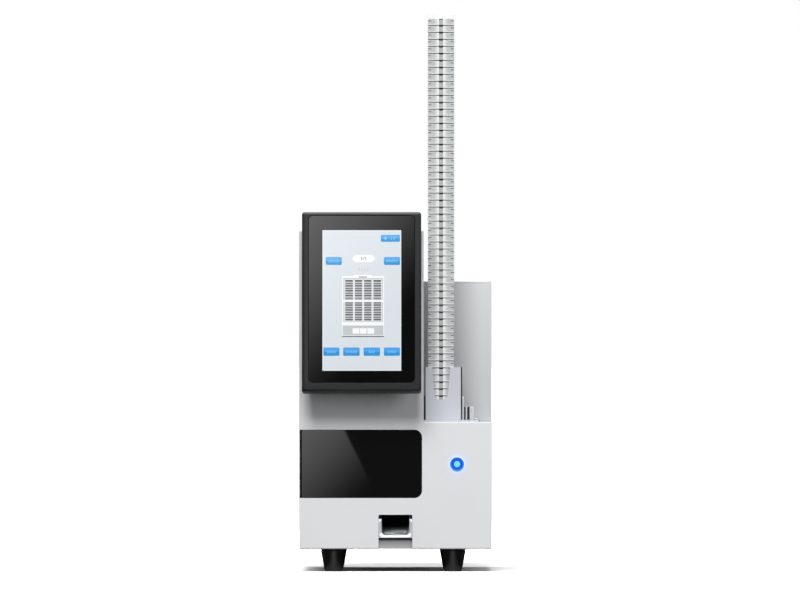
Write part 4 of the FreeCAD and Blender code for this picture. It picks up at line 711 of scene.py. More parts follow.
class MeshMaker:
    """Collects surfaces in millimetres and turns them into one piece."""

    def __init__(self) -> None:
        """Start with nothing."""
        self.points: list[np.ndarray] = []
        self.faces: list[list[int]] = []
        self.tones: list[int] = []
        self.count = 0

    def grid(self, points: np.ndarray, around: bool = False, tone: int | np.ndarray = 0) -> None:
        """Add a sheet of quads between the points of a grid.

        Args:
            points: Rows by columns by 3.
            around: Whether the last column joins the first.
            tone: The finish's place in the piece's list, for all quads or one for each.
        """
        rows, columns = points.shape[:2]
        ids = np.arange(rows * columns).reshape(rows, columns) + self.count
        if around:
            ids = np.concatenate([ids, ids[:, :1]], axis=1)
        quads = np.stack([ids[:-1, :-1], ids[:-1, 1:], ids[1:, 1:], ids[1:, :-1]], axis=-1).reshape(-1, 4)
        tones = np.broadcast_to(np.asarray(tone), (rows - 1, ids.shape[1] - 1)).reshape(-1)
        self.points.append(points.reshape(-1, 3))
        self.faces.extend(quads.tolist())
        self.tones.extend(tones.tolist())
        self.count += rows * columns

    def loop(self, points: np.ndarray, tone: int = 0) -> None:
        """Add one flat face through a loop of points.

        Args:
            points: The loop.
            tone: The finish.
        """
        self.points.append(points)
        self.faces.append(list(range(self.count, self.count + len(points))))
        self.tones.append(tone)
        self.count += len(points)

    def turned(self, profile: Sequence[tuple[float, float]], centre: Point, axis: Axis, steps: int = 48,
               tone: int | np.ndarray = 0) -> None:
        """Add a turned form: each (radius, height) of the profile swept round the axis by full circles.

        Args:
            profile: Radii and heights, from one pole to the other.
            centre: Where height zero lies on the axis.
            axis: The direction of the axis.
            steps: How many columns go round.
            tone: The finish, for all or one for each band.
        """
        along = axis.basis()[2]
        radius, height = np.array(profile, float).T[..., None, None]
        points = radius * ring_round(axis, steps)[1][None] + height * along + np.array(centre, float)
        bands = tone if np.ndim(tone) == 0 else np.asarray(tone)[:, None]
        self.grid(points, True, bands)

    def block(self, low: Point, high: Point, round_by: float = 0.3, steps: int = 3, tone: int = 0) -> None:
        """Add a block with round edges.

        Each face of a cube is a grid whose points are first held inside the block less the radius, and
        then pushed out from there by the radius along their own direction.

        Args:
            low: Lowest corner.
            high: Highest corner.
            round_by: Radius of the edges.
            steps: Rows in each edge's arc.
            tone: The finish.
        """
        low_point, high_point = np.array(low, float), np.array(high, float)
        middle, half = (low_point + high_point) / 2, (high_point - low_point) / 2
        radius = min(round_by, float(half.min()) * 0.98)
        inner = half - radius
        arc = np.tan(np.linspace(0, math.pi / 4, steps + 1))
        for axis in range(3):
            across, up = [i for i in range(3) if i != axis]
            lines = [np.concatenate([-inner[i] - radius * arc[::-1], inner[i] + radius * arc])
                     for i in (across, up)]
            for side in (-1.0, 1.0):
                first, second = np.meshgrid(*lines, indexing="ij")
                cube = np.empty(first.shape + (3,))
                cube[..., axis] = side * half[axis]
                cube[..., across] = first
                cube[..., up] = second
                held = np.clip(cube, -inner, inner)
                reach = cube - held
                reach /= np.linalg.norm(reach, axis=-1, keepdims=True)
                self.grid(middle + held + reach * radius, tone=tone)

    def screw(self, centre: Point, axis: Axis, out: float, radius: float = 2.6, rise: float = 1.2) -> None:
        """Add a round screw head with a six-sided recess.

        The rings go from the seat over a round shoulder to the recess; inside it the radius at an angle
        is the recess's half width over the cosine of the angle from the nearest flat's middle.

        Args:
            centre: The middle of its seat.
            axis: The screw's axis.
            out: 1 or -1, which way along the axis the head looks.
            radius: Head radius.
            rise: Head height.
        """
        along = axis.basis()[2]
        turn, ring = ring_round(axis, 24)
        six = 1 / np.cos((turn + math.pi / 6) % (math.pi / 3) - math.pi / 6)
        hollow = radius * 0.46
        rings = [(radius, 0.0, 1.0), (radius, rise * 0.55, 1.0), (radius * 0.93, rise * 0.85, 1.0),
                 (radius * 0.8, rise, 1.0), (hollow, rise, six), (hollow * 0.96, rise * 0.35, six),
                 (0.0, rise * 0.3, 1.0)]
        rows = [(size * shape * ring.T).T + height * out * along for size, height, shape in rings]
        self.grid(np.stack(rows) + np.array(centre, float), True)

    def build(self, name: str, finishes: Sequence[Finish], body: str, slot: str,
              replaces: Iterable[str] = (), smooth: float = 40.0) -> bpy.types.Object:
        """Make the piece.

        Args:
            name: The piece's name.
            finishes: Its finishes, by tone.
            body: The body that it rides on.
            slot: The record's material slot; not used.
            replaces: CAD nodes that it stands for.
            smooth: The angle, in degrees, under which edges look round.

        Returns:
            The piece's object.
        """
        mesh = bpy.data.meshes.new(name)
        mesh.from_pydata((np.concatenate(self.points) * MM).tolist(), [], self.faces)
        mesh.polygons.foreach_set("material_index", np.array(self.tones, np.int32))
        with opened(mesh) as work:
            bmesh.ops.remove_doubles(work, verts=work.verts, dist=2e-6)
            bmesh.ops.dissolve_degenerate(work, edges=work.edges, dist=1e-7)
            bmesh.ops.recalc_face_normals(work, faces=work.faces)
        smoothed(mesh)
        mesh.set_sharp_from_angle(angle=math.radians(smooth))
        for finish in finishes:
            mesh.materials.append(finish.material())
        return settle(stand(name, mesh), body, replaces)


def settle(piece: bpy.types.Object, body: str, replaces: Iterable[str] = ()) -> bpy.types.Object:
    """Let a piece ride and the nodes it stands for, and report it.

    Args:
        piece: The piece.
        body: The body that it rides on.
        replaces: CAD nodes that it stands for.

    Returns:
        The piece.
    """
    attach(piece, body)
    nodes = list(replaces)
    if nodes:
        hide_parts(*nodes)
    LOG.info("piece %s on %s, %d faces", piece.name, body, len(piece.data.polygons))
    return piece


def part_flats(mesh: bpy.types.Mesh, ratio: float = 6.0) -> None:
    """Keep large flat faces flat where they run into curves.

    An edge is marked sharp when one of its two faces is many times larger than the other.

    Args:
        mesh: The mesh.
        ratio: How many times larger.
    """
    with opened(mesh) as work:
        for edge in work.edges:
            if len(edge.link_faces) == 2:
                small, large = sorted(face.calc_area() for face in edge.link_faces)
                if large > ratio * small:
                    edge.smooth = False


def soften(node: str, finish: Finish, width: float) -> bpy.types.Object:
    """Stand a copy of a CAD node in its place, its facets merged and its edges rounded.

    Args:
        node: The CAD node.
        finish: The copy's finish.
        width: Width of the rounded edges.

    Returns:
        The copy.
    """
    mesh = bpy.data.meshes.new(node + "_dressed")
    with opened(mesh, frame["nodes"][node].data) as work:
        bmesh.ops.remove_doubles(work, verts=work.verts, dist=1e-6)
        bmesh.ops.dissolve_limit(work, angle_limit=math.radians(0.8), verts=work.verts, edges=work.edges)
    smoothed(mesh)
    part_flats(mesh)
    mesh.materials.append(finish.material())
    piece = stand(node + "_dressed", mesh)
    bevel = piece.modifiers.new("edges", "BEVEL")
    bevel.width = width * MM
    bevel.segments = 2
    bevel.limit_method = "ANGLE"
    bevel.angle_limit = math.radians(32)
    bevel.harden_normals = True
    return settle(piece, BODY_OF[node], [node])


def merge_flats(mesh: bpy.types.Mesh) -> None:
    """Join the faces of a flat sheet that have the same finish.

    Args:
        mesh: The sheet.
    """
    with opened(mesh) as work:
        bmesh.ops.dissolve_limit(work, angle_limit=math.radians(0.2), verts=work.verts, edges=work.edges,
                                 delimit={"MATERIAL"})


def keep(node: str, finish: Finish) -> None:
    """Leave a CAD node as it is and give it a finish.

    Args:
        node: The CAD node.
        finish: Its finish.
    """
    target = frame["nodes"][node]
    target.data.materials.clear()
    target.data.materials.append(finish.material())


def box_of(node: str) -> tuple[np.ndarray, np.ndarray]:
    """The corners of a CAD node's box, in millimetres."""
    low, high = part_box(node)
    return np.array(low) / MM, np.array(high) / MM


def middle_of(node: str) -> np.ndarray:
    """The middle of a CAD node's box, in millimetres."""
    low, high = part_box(node)
    return (np.array(low) + np.array(high)) / 2 / MM


@dataclass
class Cabinet:
    """The sheet metal cabinet's screws."""

    side_screw_depths: tuple[float, ...] = (118.0, 240.0, 362.0)
    side_screw_rise: float = 33.5
    side_screw_rest: float = 0.97
    rear_screws_x: tuple[float, ...] = (-98.0, 0.0, 98.0)
    rear_screws_z: tuple[float, ...] = (33.0, 306.0)
    fan_screw_inset: float = 35.7

    def build(self) -> None:
        """Make the screws of the rear panel, the fan and the side covers."""
        rear = box_of("rear_panel")[1][1] - SEAT_DEPTH
        screws = MeshMaker()
        for x in self.rear_screws_x:
            for z in self.rear_screws_z:
                screws.screw((x, rear, z), Axis.Y, 1)
        grille = middle_of("fan_rotor")
        for side in (-self.fan_screw_inset, self.fan_screw_inset):
            for up in (-self.fan_screw_inset, self.fan_screw_inset):
                screws.screw((grille[0] + side, rear, grille[2] + up), Axis.Y, 1, 2.3, 1.0)
        screws.build("rear_screws", [Finishes.SCREW], "root", "spring_steel")
        for node, out in (("left_side_cover", -1), ("right_side_cover", 1)):
            low, high = box_of(node)
            face = (high[0] if out > 0 else low[0]) - out * self.side_screw_rest
            heads = MeshMaker()
            for depth in self.side_screw_depths:
                heads.screw((face, Y_FRONT + depth, self.side_screw_rise), Axis.X, out, 2.4, 0.95)
            heads.build(node + "_screws", [Finishes.SCREW], "root", "spring_steel")


@dataclass
class Feet:
    """Four tapered feet, each turned with a round floor edge, a groove and a screw's recess."""

    height: float = 25.0
    top: float = 14.8
    floor: float = 9.9
    rim: float = 0.9
    seam: float = 24.97

    def profile(self) -> list[tuple[float, float]]:
        """Radii and heights from the recess under the foot up its wall to the cabinet.

        Returns:
            The profile; the floor edge is a quarter circle of the rim's radius.
        """
        arc = np.linspace(-math.pi / 2, 0, 6)
        edge = [(self.floor - self.rim + self.rim * math.cos(a), self.rim + self.rim * math.sin(a))
                for a in arc]
        slope = (self.top - self.floor) / self.height
        wall = [(self.floor + slope * h - SEAT_DEPTH, h) for h in (self.rim + 0.4, 8.0, 16.0, 22.6)]
        groove = [(self.top - 1.0, 22.9), (self.top - 1.0, 23.5), (self.top - 0.25, 23.8)]
        recess = [(0.0, 4.0), (3.4, 4.0), (3.6, 0.3), (3.9, 0.0)]
        return recess + edge + wall + groove + [(self.top - 0.05, self.seam), (0.0, self.seam)]

    def build(self) -> None:
        """Make the feet where the CAD's stand."""
        low, high = box_of("rubber_feet")
        maker = MeshMaker()
        for x in (low[0] + self.top, high[0] - self.top):
            for y in (low[1] + self.top, high[1] - self.top):
                maker.turned(self.profile(), (x, y, 0.0), Axis.Z, 56)
        maker.build("turned_feet", [Finishes.RUBBER], "root", "foot_rubber", ["rubber_feet"])


@dataclass
class PushButton:
    """The lit ring, its pressed cap and the bright lens."""

    ring_radius: float = 7.75
    bore: float = 5.25
    proud: float = 1.45
    cap_radius: float = 4.85
    cap_length: float = 7.9
    core_radius: float = 3.62
    core_front: float = -1.2

    def build(self) -> None:
        """Make the three turned pieces round the button's axis."""
        x, _, z = middle_of("button_cap")
        seat = (x, Y_FRONT, z)
        outer, bore, cap_edge, core_edge = self.ring_radius, self.bore, self.cap_radius, self.core_radius
        ring = MeshMaker()
        ring.turned([(outer, 0.0), (outer, -0.75), (outer - 0.14, -1.1), (outer - 0.55, -self.proud),
                     (bore + 0.75, -self.proud), (bore + 0.3, -1.2), (bore, -0.7), (bore, 0.0), (outer, 0.0)],
                    seat, Axis.Y, 64, [1, 1, 0, 0, 2, 2, 2, 0])
        ring.build("button_ring", [Finishes.RING, Finishes.RING_SIDE, Finishes.CAP], "root", "button_blue",
                   ["button_bezel"])
        cap = MeshMaker()
        cap.turned([(0.0, self.cap_length), (cap_edge, self.cap_length), (cap_edge, -1.0),
                    (cap_edge - 0.35, -self.proud), (core_edge + 0.6, -self.proud), (core_edge + 0.08, -1.1),
                    (core_edge + 0.08, 0.0), (0.0, 0.0)], seat, Axis.Y, 56, [0, 0, 0, 0, 1, 1, 1])
        cap.build("button_press_cap", [Finishes.CAP, Finishes.CAP_EDGE], "button", "button_dark",
                  ["button_cap"])
        core = MeshMaker()
        dome = [(core_edge * math.sin(a), self.core_front + 0.42 * (1 - math.cos(a)))
                for a in np.linspace(0, 1.57, 8)]
        core.turned(dome + [(core_edge, -0.06), (0.0, -0.06)], seat, Axis.Y, 48)
        lens = replace(Finishes.CORE, centre=(x, Y_FRONT + self.core_front, z))
        core.build("button_lens", [lens], "button", "button_cyan", ["button_core"])


@dataclass
class Chute:
    """The output chute: a U of steel, swept level from the mouth, then up a bend and a ramp."""

    wall: float = 3.0
    corner: float = 2.7
    level: float = 30.0
    bend: float = 45.0
    slope: float = math.radians(55.0)
    ramp: float = 34.0
    flare: float = 2.3
    rise: float = 20.6
    front_drop: float = 3.2

    def section(self, half: float, flare: float = 0.0, drop: float = 0.0) -> np.ndarray:
        """The U as a loop of points: eight outside from left to right, eight inside back again.

        Args:
            half: Half its width.
            flare: How far the inside is opened outwards.
            drop: How far the tops of the walls are lowered.

        Returns:
            Across and rise for each point.
        """
        top, inner, low = self.rise - drop, half - self.wall + flare, self.wall - flare
        knee, cut = low + self.corner, inner - self.corner
        outside = [(-half, top), (-half, knee), (-half, 0.0), (-cut, 0.0), (cut, 0.0), (half, 0.0),
                   (half, knee), (half, top)]
        mid = (inner - self.corner / 2, low + self.corner / 2)
        inside = [(inner, top), (inner, knee), mid, (cut, low), (-cut, low), (-mid[0], mid[1]),
                  (-inner, knee), (-inner, top)]
        return np.array(outside + inside)

    def path(self, start: float, bottom: float) -> list[tuple[float, float, float]]:
        """Follow the floor's underside along the sweep.

        The bend is an arc: its depth goes with the sine and its height with one less the cosine.

        Args:
            start: Depth of the mouth.
            bottom: Height of the underside there.

        Returns:
            Depth, height and slope at each stop.
        """
        stops = [(start + d, bottom, 0.0) for d in (self.flare * 1.2, 12.0, self.level)]
        turns = np.linspace(0, self.slope, 19)[1:]
        stops += [(start + self.level + self.bend * math.sin(a), bottom + self.bend * (1 - math.cos(a)), a)
                  for a in turns]
        y, z, a = stops[-1]
        return stops + [(y + self.ramp * math.cos(a), z + self.ramp * math.sin(a), a)]

    def build(self) -> None:
        """Make the chute in the place of the CAD's."""
        low, high = box_of("output_chute")
        half, x = (high[0] - low[0]) / 2, (high[0] + low[0]) / 2
        plain, front = self.section(half), self.section(half, self.flare, self.front_drop)
        rows = [np.stack([front[:, 0] + x, np.full(len(front), low[1]), front[:, 1] + low[2]], 1)]
        for y, z, a in self.path(low[1], low[2]):
            lean_y, lean_z = y - plain[:, 1] * math.sin(a), z + plain[:, 1] * math.cos(a)
            rows.append(np.stack([plain[:, 0] + x, lean_y, np.minimum(lean_z, high[2])], 1))
        # the inside of the U takes the painted shade, the front lip the painted highlight
        steel, edge, deep = range(3)
        tones = np.full((len(rows) - 1, len(plain)), steel)
        tones[:, 8:15] = deep
        tones[0] = [steel] * 7 + [edge, steel] + [edge] * 5 + [steel, edge]
        maker = MeshMaker()
        maker.grid(np.stack(rows), True, tones)
        maker.grid(np.stack([rows[0][:8], rows[0][:7:-1]]), tone=steel)
        maker.grid(np.stack([rows[-1][:8], rows[-1][:7:-1]]), tone=deep)
        maker.build("swept_chute", [Finishes.STEEL, Finishes.STEEL_PAINTED_HIGHLIGHT, Finishes.STEEL_PAINTED_SHADE], "root",
                    SLOT_OF["output_chute"], ["output_chute"], 25)


class ScreenTone(Enum):
    """The screen's colours, each at the top and at the bottom, in the order of the piece's finishes."""

    GROUND = ((226, 231, 237), (221, 226, 232))
    BUTTON_TOP = ((86, 176, 243), (60, 160, 240))
    BUTTON_LOW = ((6, 150, 220), (4, 147, 218))
    WHITE = ((255, 255, 255), (252, 253, 254))
    DARK = ((38, 40, 44), (64, 66, 70))
    MID = ((150, 152, 154), (146, 147, 149))
    EDGE = ((244, 247, 250), (240, 243, 246))
    LABEL = ((202, 204, 206), (200, 202, 204))
    MARK = ((156, 206, 246), (150, 203, 245))

    def place(self) -> int:
        """The tone's place in the piece's list of finishes."""
        return list(ScreenTone).index(self)

    def finish(self) -> ScreenFinish:
        """The tone as a finish."""
        high, low = self.value
        return ScreenFinish("screen_" + self.name.lower(), high, 0.6, low=low, specular=0.0)


class Mosaic:
    """Flat shapes painted one over another and then cut into one sheet, so that no face hides another."""

    def __init__(self) -> None:
        """Start with nothing."""
        self.shapes: list[tuple[float, float, float, float, int]] = []

    def paint(self, box: Box, tone: ScreenTone, radius: float = 0.0) -> None:
        """Paint a rectangle; its round corners are three steps on a quarter circle.

        Args:
            box: Left, low, right and high.
            tone: Its finish.
            radius: Corner radius.
        """
        left, low, right, high = box
        radius = min(radius, (right - left) / 2, (high - low) / 2)
        for turn in (np.array([0.5, 1.5, 2.5]) * math.pi / 6 if radius > 0.15 else (math.pi / 4,)):
            aside, under = radius * (1 - math.cos(turn)), radius * (1 - math.sin(turn))
            self.shapes.append((left + aside, low + under, right - aside, high - under, tone.place()))

    def repeat(self, starts: Iterable[float], boxes: Sequence[Box], tone: ScreenTone) -> None:
        """Paint the same boxes at several places.

        Args:
            starts: The places across.
            boxes: Left, low, right and high, with the sides counted from each place.
            tone: Their finish.
        """
        for x in starts:
            for left, low, right, high in boxes:
                self.paint((x + left, low, x + right, high), tone)

    def sheet(self) -> tuple[np.ndarray, np.ndarray, np.ndarray]:
        """Cut the sheet along every shape's edges, on a tenth of a millimetre.

        Returns:
            The places of the cuts across and upwards, and the tone of each cell.
        """
        edges = np.round(np.array([shape[:4] for shape in self.shapes]), 1)
        across, upward = np.unique(edges[:, [0, 2]]), np.unique(edges[:, [1, 3]])
        tones = np.zeros((len(upward) - 1, len(across) - 1), int)
        for (left, low, right, high), shape in zip(edges, self.shapes):
            rows = slice(*np.searchsorted(upward, (low, high)))
            columns = slice(*np.searchsorted(across, (left, right)))
            tones[rows, columns] = shape[4]
        return across, upward, tones


@dataclass
class ScreenPicture:
    """What the lit screen shows: buttons with plain strokes, a count and a loaded rack."""

    window: Box
    rim: float = 0.8
    mark_step: float = 2.5
    side_buttons: tuple[Box, ...] = ((-39.3, 40.6, -21.7, 49.4), (24.5, 40.6, 42.2, 49.4))
    menu: tuple[tuple[float, float, int], ...] = ((-42.0, -24.2, 4), (-20.2, -2.1, 5), (2.2, 20.3, 3),
                                                  (24.5, 42.2, 4))
    menu_rows: tuple[float, float] = (-59.9, -50.7)
    columns: tuple[tuple[float, float], ...] = ((-18.0, -9.4), (-7.4, 0.8), (2.7, 11.0), (13.0, 21.6))
    slats: int = 17
    slat_step: float = 2.66
    sheet: Mosaic = field(default_factory=Mosaic)

    def button(self, box: Box, marks: int = 0) -> None:
        """Paint a screen button: two bands of blue and plain strokes for its label.

        Args:
            box: Left, low, right and high.
            marks: How many marks its label has.
        """
        left, low, right, high = box
        upper = (left + 0.2, low + (high - low) * 0.45, right - 0.2, high - 0.2)
        self.sheet.paint(box, ScreenTone.BUTTON_LOW, 0.9)
        self.sheet.paint(upper, ScreenTone.BUTTON_TOP, 0.8)
        step, rise = self.mark_step, (low + high) / 2
        start = (left + right) / 2 - step * marks / 2
        for x in start + step * np.arange(marks):
            self.sheet.paint((x + 0.3, rise + 0.6, x + step - 0.4, rise + 1.1), ScreenTone.MARK)
            self.sheet.paint((x + 0.5, rise - 0.4, x + step - 0.6, rise), ScreenTone.MARK)
            self.sheet.paint((x + 0.3, rise - 1.4, x + step - 0.4, rise - 1.0), ScreenTone.MARK)
            self.sheet.paint((x + 1.0, rise - 1.3, x + 1.4, rise + 1.0), ScreenTone.MARK)

    def switch(self) -> None:
        """Paint the button at the top right: a round mark with two hands, and two labels."""
        self.button((21.2, 66.2, 42.2, 73.9))
        self.sheet.paint((24.3, 68.2, 27.9, 71.8), ScreenTone.MARK, 1.8)
        self.sheet.paint((24.8, 68.7, 27.4, 71.3), ScreenTone.BUTTON_TOP, 1.3)
        self.sheet.paint((25.9, 69.8, 26.3, 71.2), ScreenTone.WHITE)
        self.sheet.paint((25.9, 69.8, 27.0, 70.2), ScreenTone.WHITE)
        self.sheet.repeat((31.6, 34.6), [(0.0, 71.0, 2.2, 71.4), (0.3, 69.8, 1.9, 70.2),
                                         (0.0, 68.5, 2.2, 68.9), (0.9, 68.6, 1.3, 71.2)], ScreenTone.MARK)

    def count(self, x: float, z: float, high: float) -> None:
        """Paint one of one: two strokes with their flags and a slanted bar in steps between.

        Args:
            x: Its middle across.
            z: Its middle upwards.
            high: How high it is.
        """
        self.sheet.paint((-10.1, 43.6, 14.9, 51.8), ScreenTone.WHITE, 4.1)
        low, top = z - high / 2, z + high / 2
        for offset in (-2.4, 2.0):
            self.sheet.paint((x + offset, low, x + offset + 0.6, top), ScreenTone.DARK)
            self.sheet.paint((x + offset - 0.6, top - 0.9, x + offset, top - 0.4), ScreenTone.DARK)
        for share in np.arange(6) / 6:
            left = x - 0.8 + 1.4 * share
            step = (left, low + share * high, left + 0.5, low + (share + 1 / 6) * high)
            self.sheet.paint(step, ScreenTone.DARK)

    def heading(self) -> None:
        """Paint the pale strokes of the heading over the rack."""
        self.sheet.repeat(-3.6 + 3.1 * np.arange(4),
                          [(0.0, 34.4, 2.2, 34.8), (0.3, 35.7, 1.9, 36.1), (0.0, 37.0, 2.2, 37.4),
                           (0.9, 34.6, 1.3, 37.2)], ScreenTone.LABEL)

    def rack(self) -> None:
        """Paint the picture of a loaded rack: columns of slats over a label band."""
        for box, tone, radius in (((-21.3, -38.8, 24.7, 28.3), ScreenTone.WHITE, 0.6),
                                  ((-9.6, 28.0, 12.5, 30.3), ScreenTone.LABEL, 0.5),
                                  ((-9.2, 27.0, 12.1, 29.9), ScreenTone.WHITE, 0.5),
                                  ((-3.0, 26.6, 6.0, 27.8), ScreenTone.MID, 0.0),
                                  ((-20.0, -22.6, 23.4, 26.0), ScreenTone.LABEL, 0.0)):
            self.sheet.paint(box, tone, radius)
        for left, right in self.columns:
            self.sheet.paint((left - 0.7, -21.8, right + 0.7, 24.6), ScreenTone.WHITE)
            self.sheet.paint((left, -21.4, right, 23.8), ScreenTone.LABEL)
            for slat in range(self.slats):
                z = -20.9 + self.slat_step * slat
                dark_top = 2.2 if slat in (7, 16) else 1.8 - 0.4 * (slat % 2)
                self.sheet.paint((left, z, right, z + 1.0), ScreenTone.MID)
                self.sheet.paint((left, z + 0.8, right, z + dark_top), ScreenTone.DARK)
        self.sheet.paint((-20.0, -0.6, 23.4, 1.9), ScreenTone.WHITE)
        self.sheet.paint((-20.6, -37.3, 24.0, -26.4), ScreenTone.LABEL)
        self.sheet.paint((-21.3, -39.0, 24.7, -38.0), ScreenTone.DARK)
        self.sheet.repeat((-9.9, -1.9, 6.4), [(0.0, -35.4, 7.4, -29.4)], ScreenTone.WHITE)

    def paint(self) -> Mosaic:
        """Paint the whole picture.

        Returns:
            The painted sheet.
        """
        left, low, right, high = self.window
        ground = (left + self.rim, low + self.rim, right - self.rim, high - self.rim)
        self.sheet.paint(self.window, ScreenTone.EDGE)
        self.sheet.paint(ground, ScreenTone.GROUND)
        self.switch()
        for box in self.side_buttons:
            self.button(box, 5)
        self.count(2.4, 47.7, 3.2)
        self.heading()
        self.rack()
        for start, end, marks in self.menu:
            self.button((start, self.menu_rows[0], end, self.menu_rows[1]), marks)
        return self.sheet


@dataclass
class Display:
    """The touch display: glass with its dark border and window, and the lit screen behind it."""

    tilt: float = math.radians(7.0)
    centre: Point = (-37.2, 0.0, 295.8)
    glass: tuple[float, float] = (116.6, 185.0)
    corner: float = 5.0
    rise: float = 2.8
    front: float = -12.45
    thick: float = 1.15
    rim: float = 0.35
    window: Box = (-42.9, -76.5, 43.5, 79.0)
    screen_depth: float = -11.1
    corner_steps: int = 8

    def __post_init__(self) -> None:
        """Find the display's depth from the box of the CAD glass: the low end of its leaning front."""
        half = self.glass[1] / 2
        lowest = self.front * math.cos(self.tilt) + (self.rise - half) * math.sin(self.tilt)
        self.centre = (self.centre[0], box_of("display_glass")[0][1] - lowest, self.centre[2])

    def lean(self, across: np.ndarray, depth: float, rise: np.ndarray) -> np.ndarray:
        """Carry points from the upright display to its leaning place, by a turn about its own width.

        Args:
            across: Their places across from the display's middle.
            depth: Their depth.
            rise: Their heights.

        Returns:
            The points in the row frame.
        """
        c, s = math.cos(self.tilt), math.sin(self.tilt)
        return np.stack([across, depth * c + rise * s, rise * c - depth * s], axis=-1) + np.array(self.centre)

    def outline(self, box: Box, radius: float) -> np.ndarray:
        """Draw a rectangle with round corners: four quarter circles joined by straight runs.

        Args:
            box: Left, low, right and high.
            radius: Corner radius.

        Returns:
            Across and rise of each point.
        """
        left, low, right, high = box
        turn = np.linspace(0, math.pi / 2, self.corner_steps + 1)
        corners = [(right - radius, high - radius), (left + radius, high - radius),
                   (left + radius, low + radius), (right - radius, low + radius)]
        quarters = [turn + quarter * math.pi / 2 for quarter in range(4)]
        return np.concatenate([np.stack([x + radius * np.cos(arc), z + radius * np.sin(arc)], 1)
                               for (x, z), arc in zip(corners, quarters)])

    def screen(self) -> None:
        """Make the lit screen in its window."""
        across, upward, tones = ScreenPicture(self.window).paint().sheet()
        x, z = np.meshgrid(across, upward)
        maker = MeshMaker()
        maker.grid(self.lean(x, self.screen_depth, z), tone=tones)
        finishes = [tone.finish() for tone in ScreenTone]
        merge_flats(maker.build("screen_picture", finishes, "root", "lcd", smooth=5).data)

    def build(self) -> None:
        """Make the glass border, its window and the screen."""
        half_w, half_h, rim = self.glass[0] / 2, self.glass[1] / 2, self.rim
        left, low, right, high = self.window
        outer = self.outline((-half_w, self.rise - half_h, half_w, self.rise + half_h), self.corner)
        soft = self.outline((-half_w + rim, self.rise - half_h + rim, half_w - rim, self.rise + half_h - rim),
                            self.corner - rim)
        inner = self.outline(self.window, 0.02)
        back = self.front + self.thick
        rows = [(inner, back), (outer, back), (outer, self.front + rim), (soft, self.front),
                (inner, self.front), (inner, back)]
        border = MeshMaker()
        border.grid(np.stack([self.lean(loop[:, 0], depth, loop[:, 1]) for loop, depth in rows]), True)
        border.build("glass_border", [Finishes.GLASS], "root", "display_glass", ["display_glass"], 30)
        pane = MeshMaker()
        across, upward = np.array([left, right, right, left]), np.array([low, low, high, high])
        ends = [self.lean(across, depth, upward) for depth in (self.front, back)]
        pane.grid(np.stack(ends), True)
        pane.loop(ends[0])
        pane.loop(ends[1][::-1])
        pane.build("glass_window", [Finishes.PANE], "root", "display_glass", ["display_glass"], 30)
        self.screen()


class CassetteTone(IntEnum):
    """The finishes of a cassette, by their places in the piece's list."""

    BODY = 0
    LIT_LIP = 1
    SLOT = 2
    GAP = 3
    HOLE_SHADE = 4


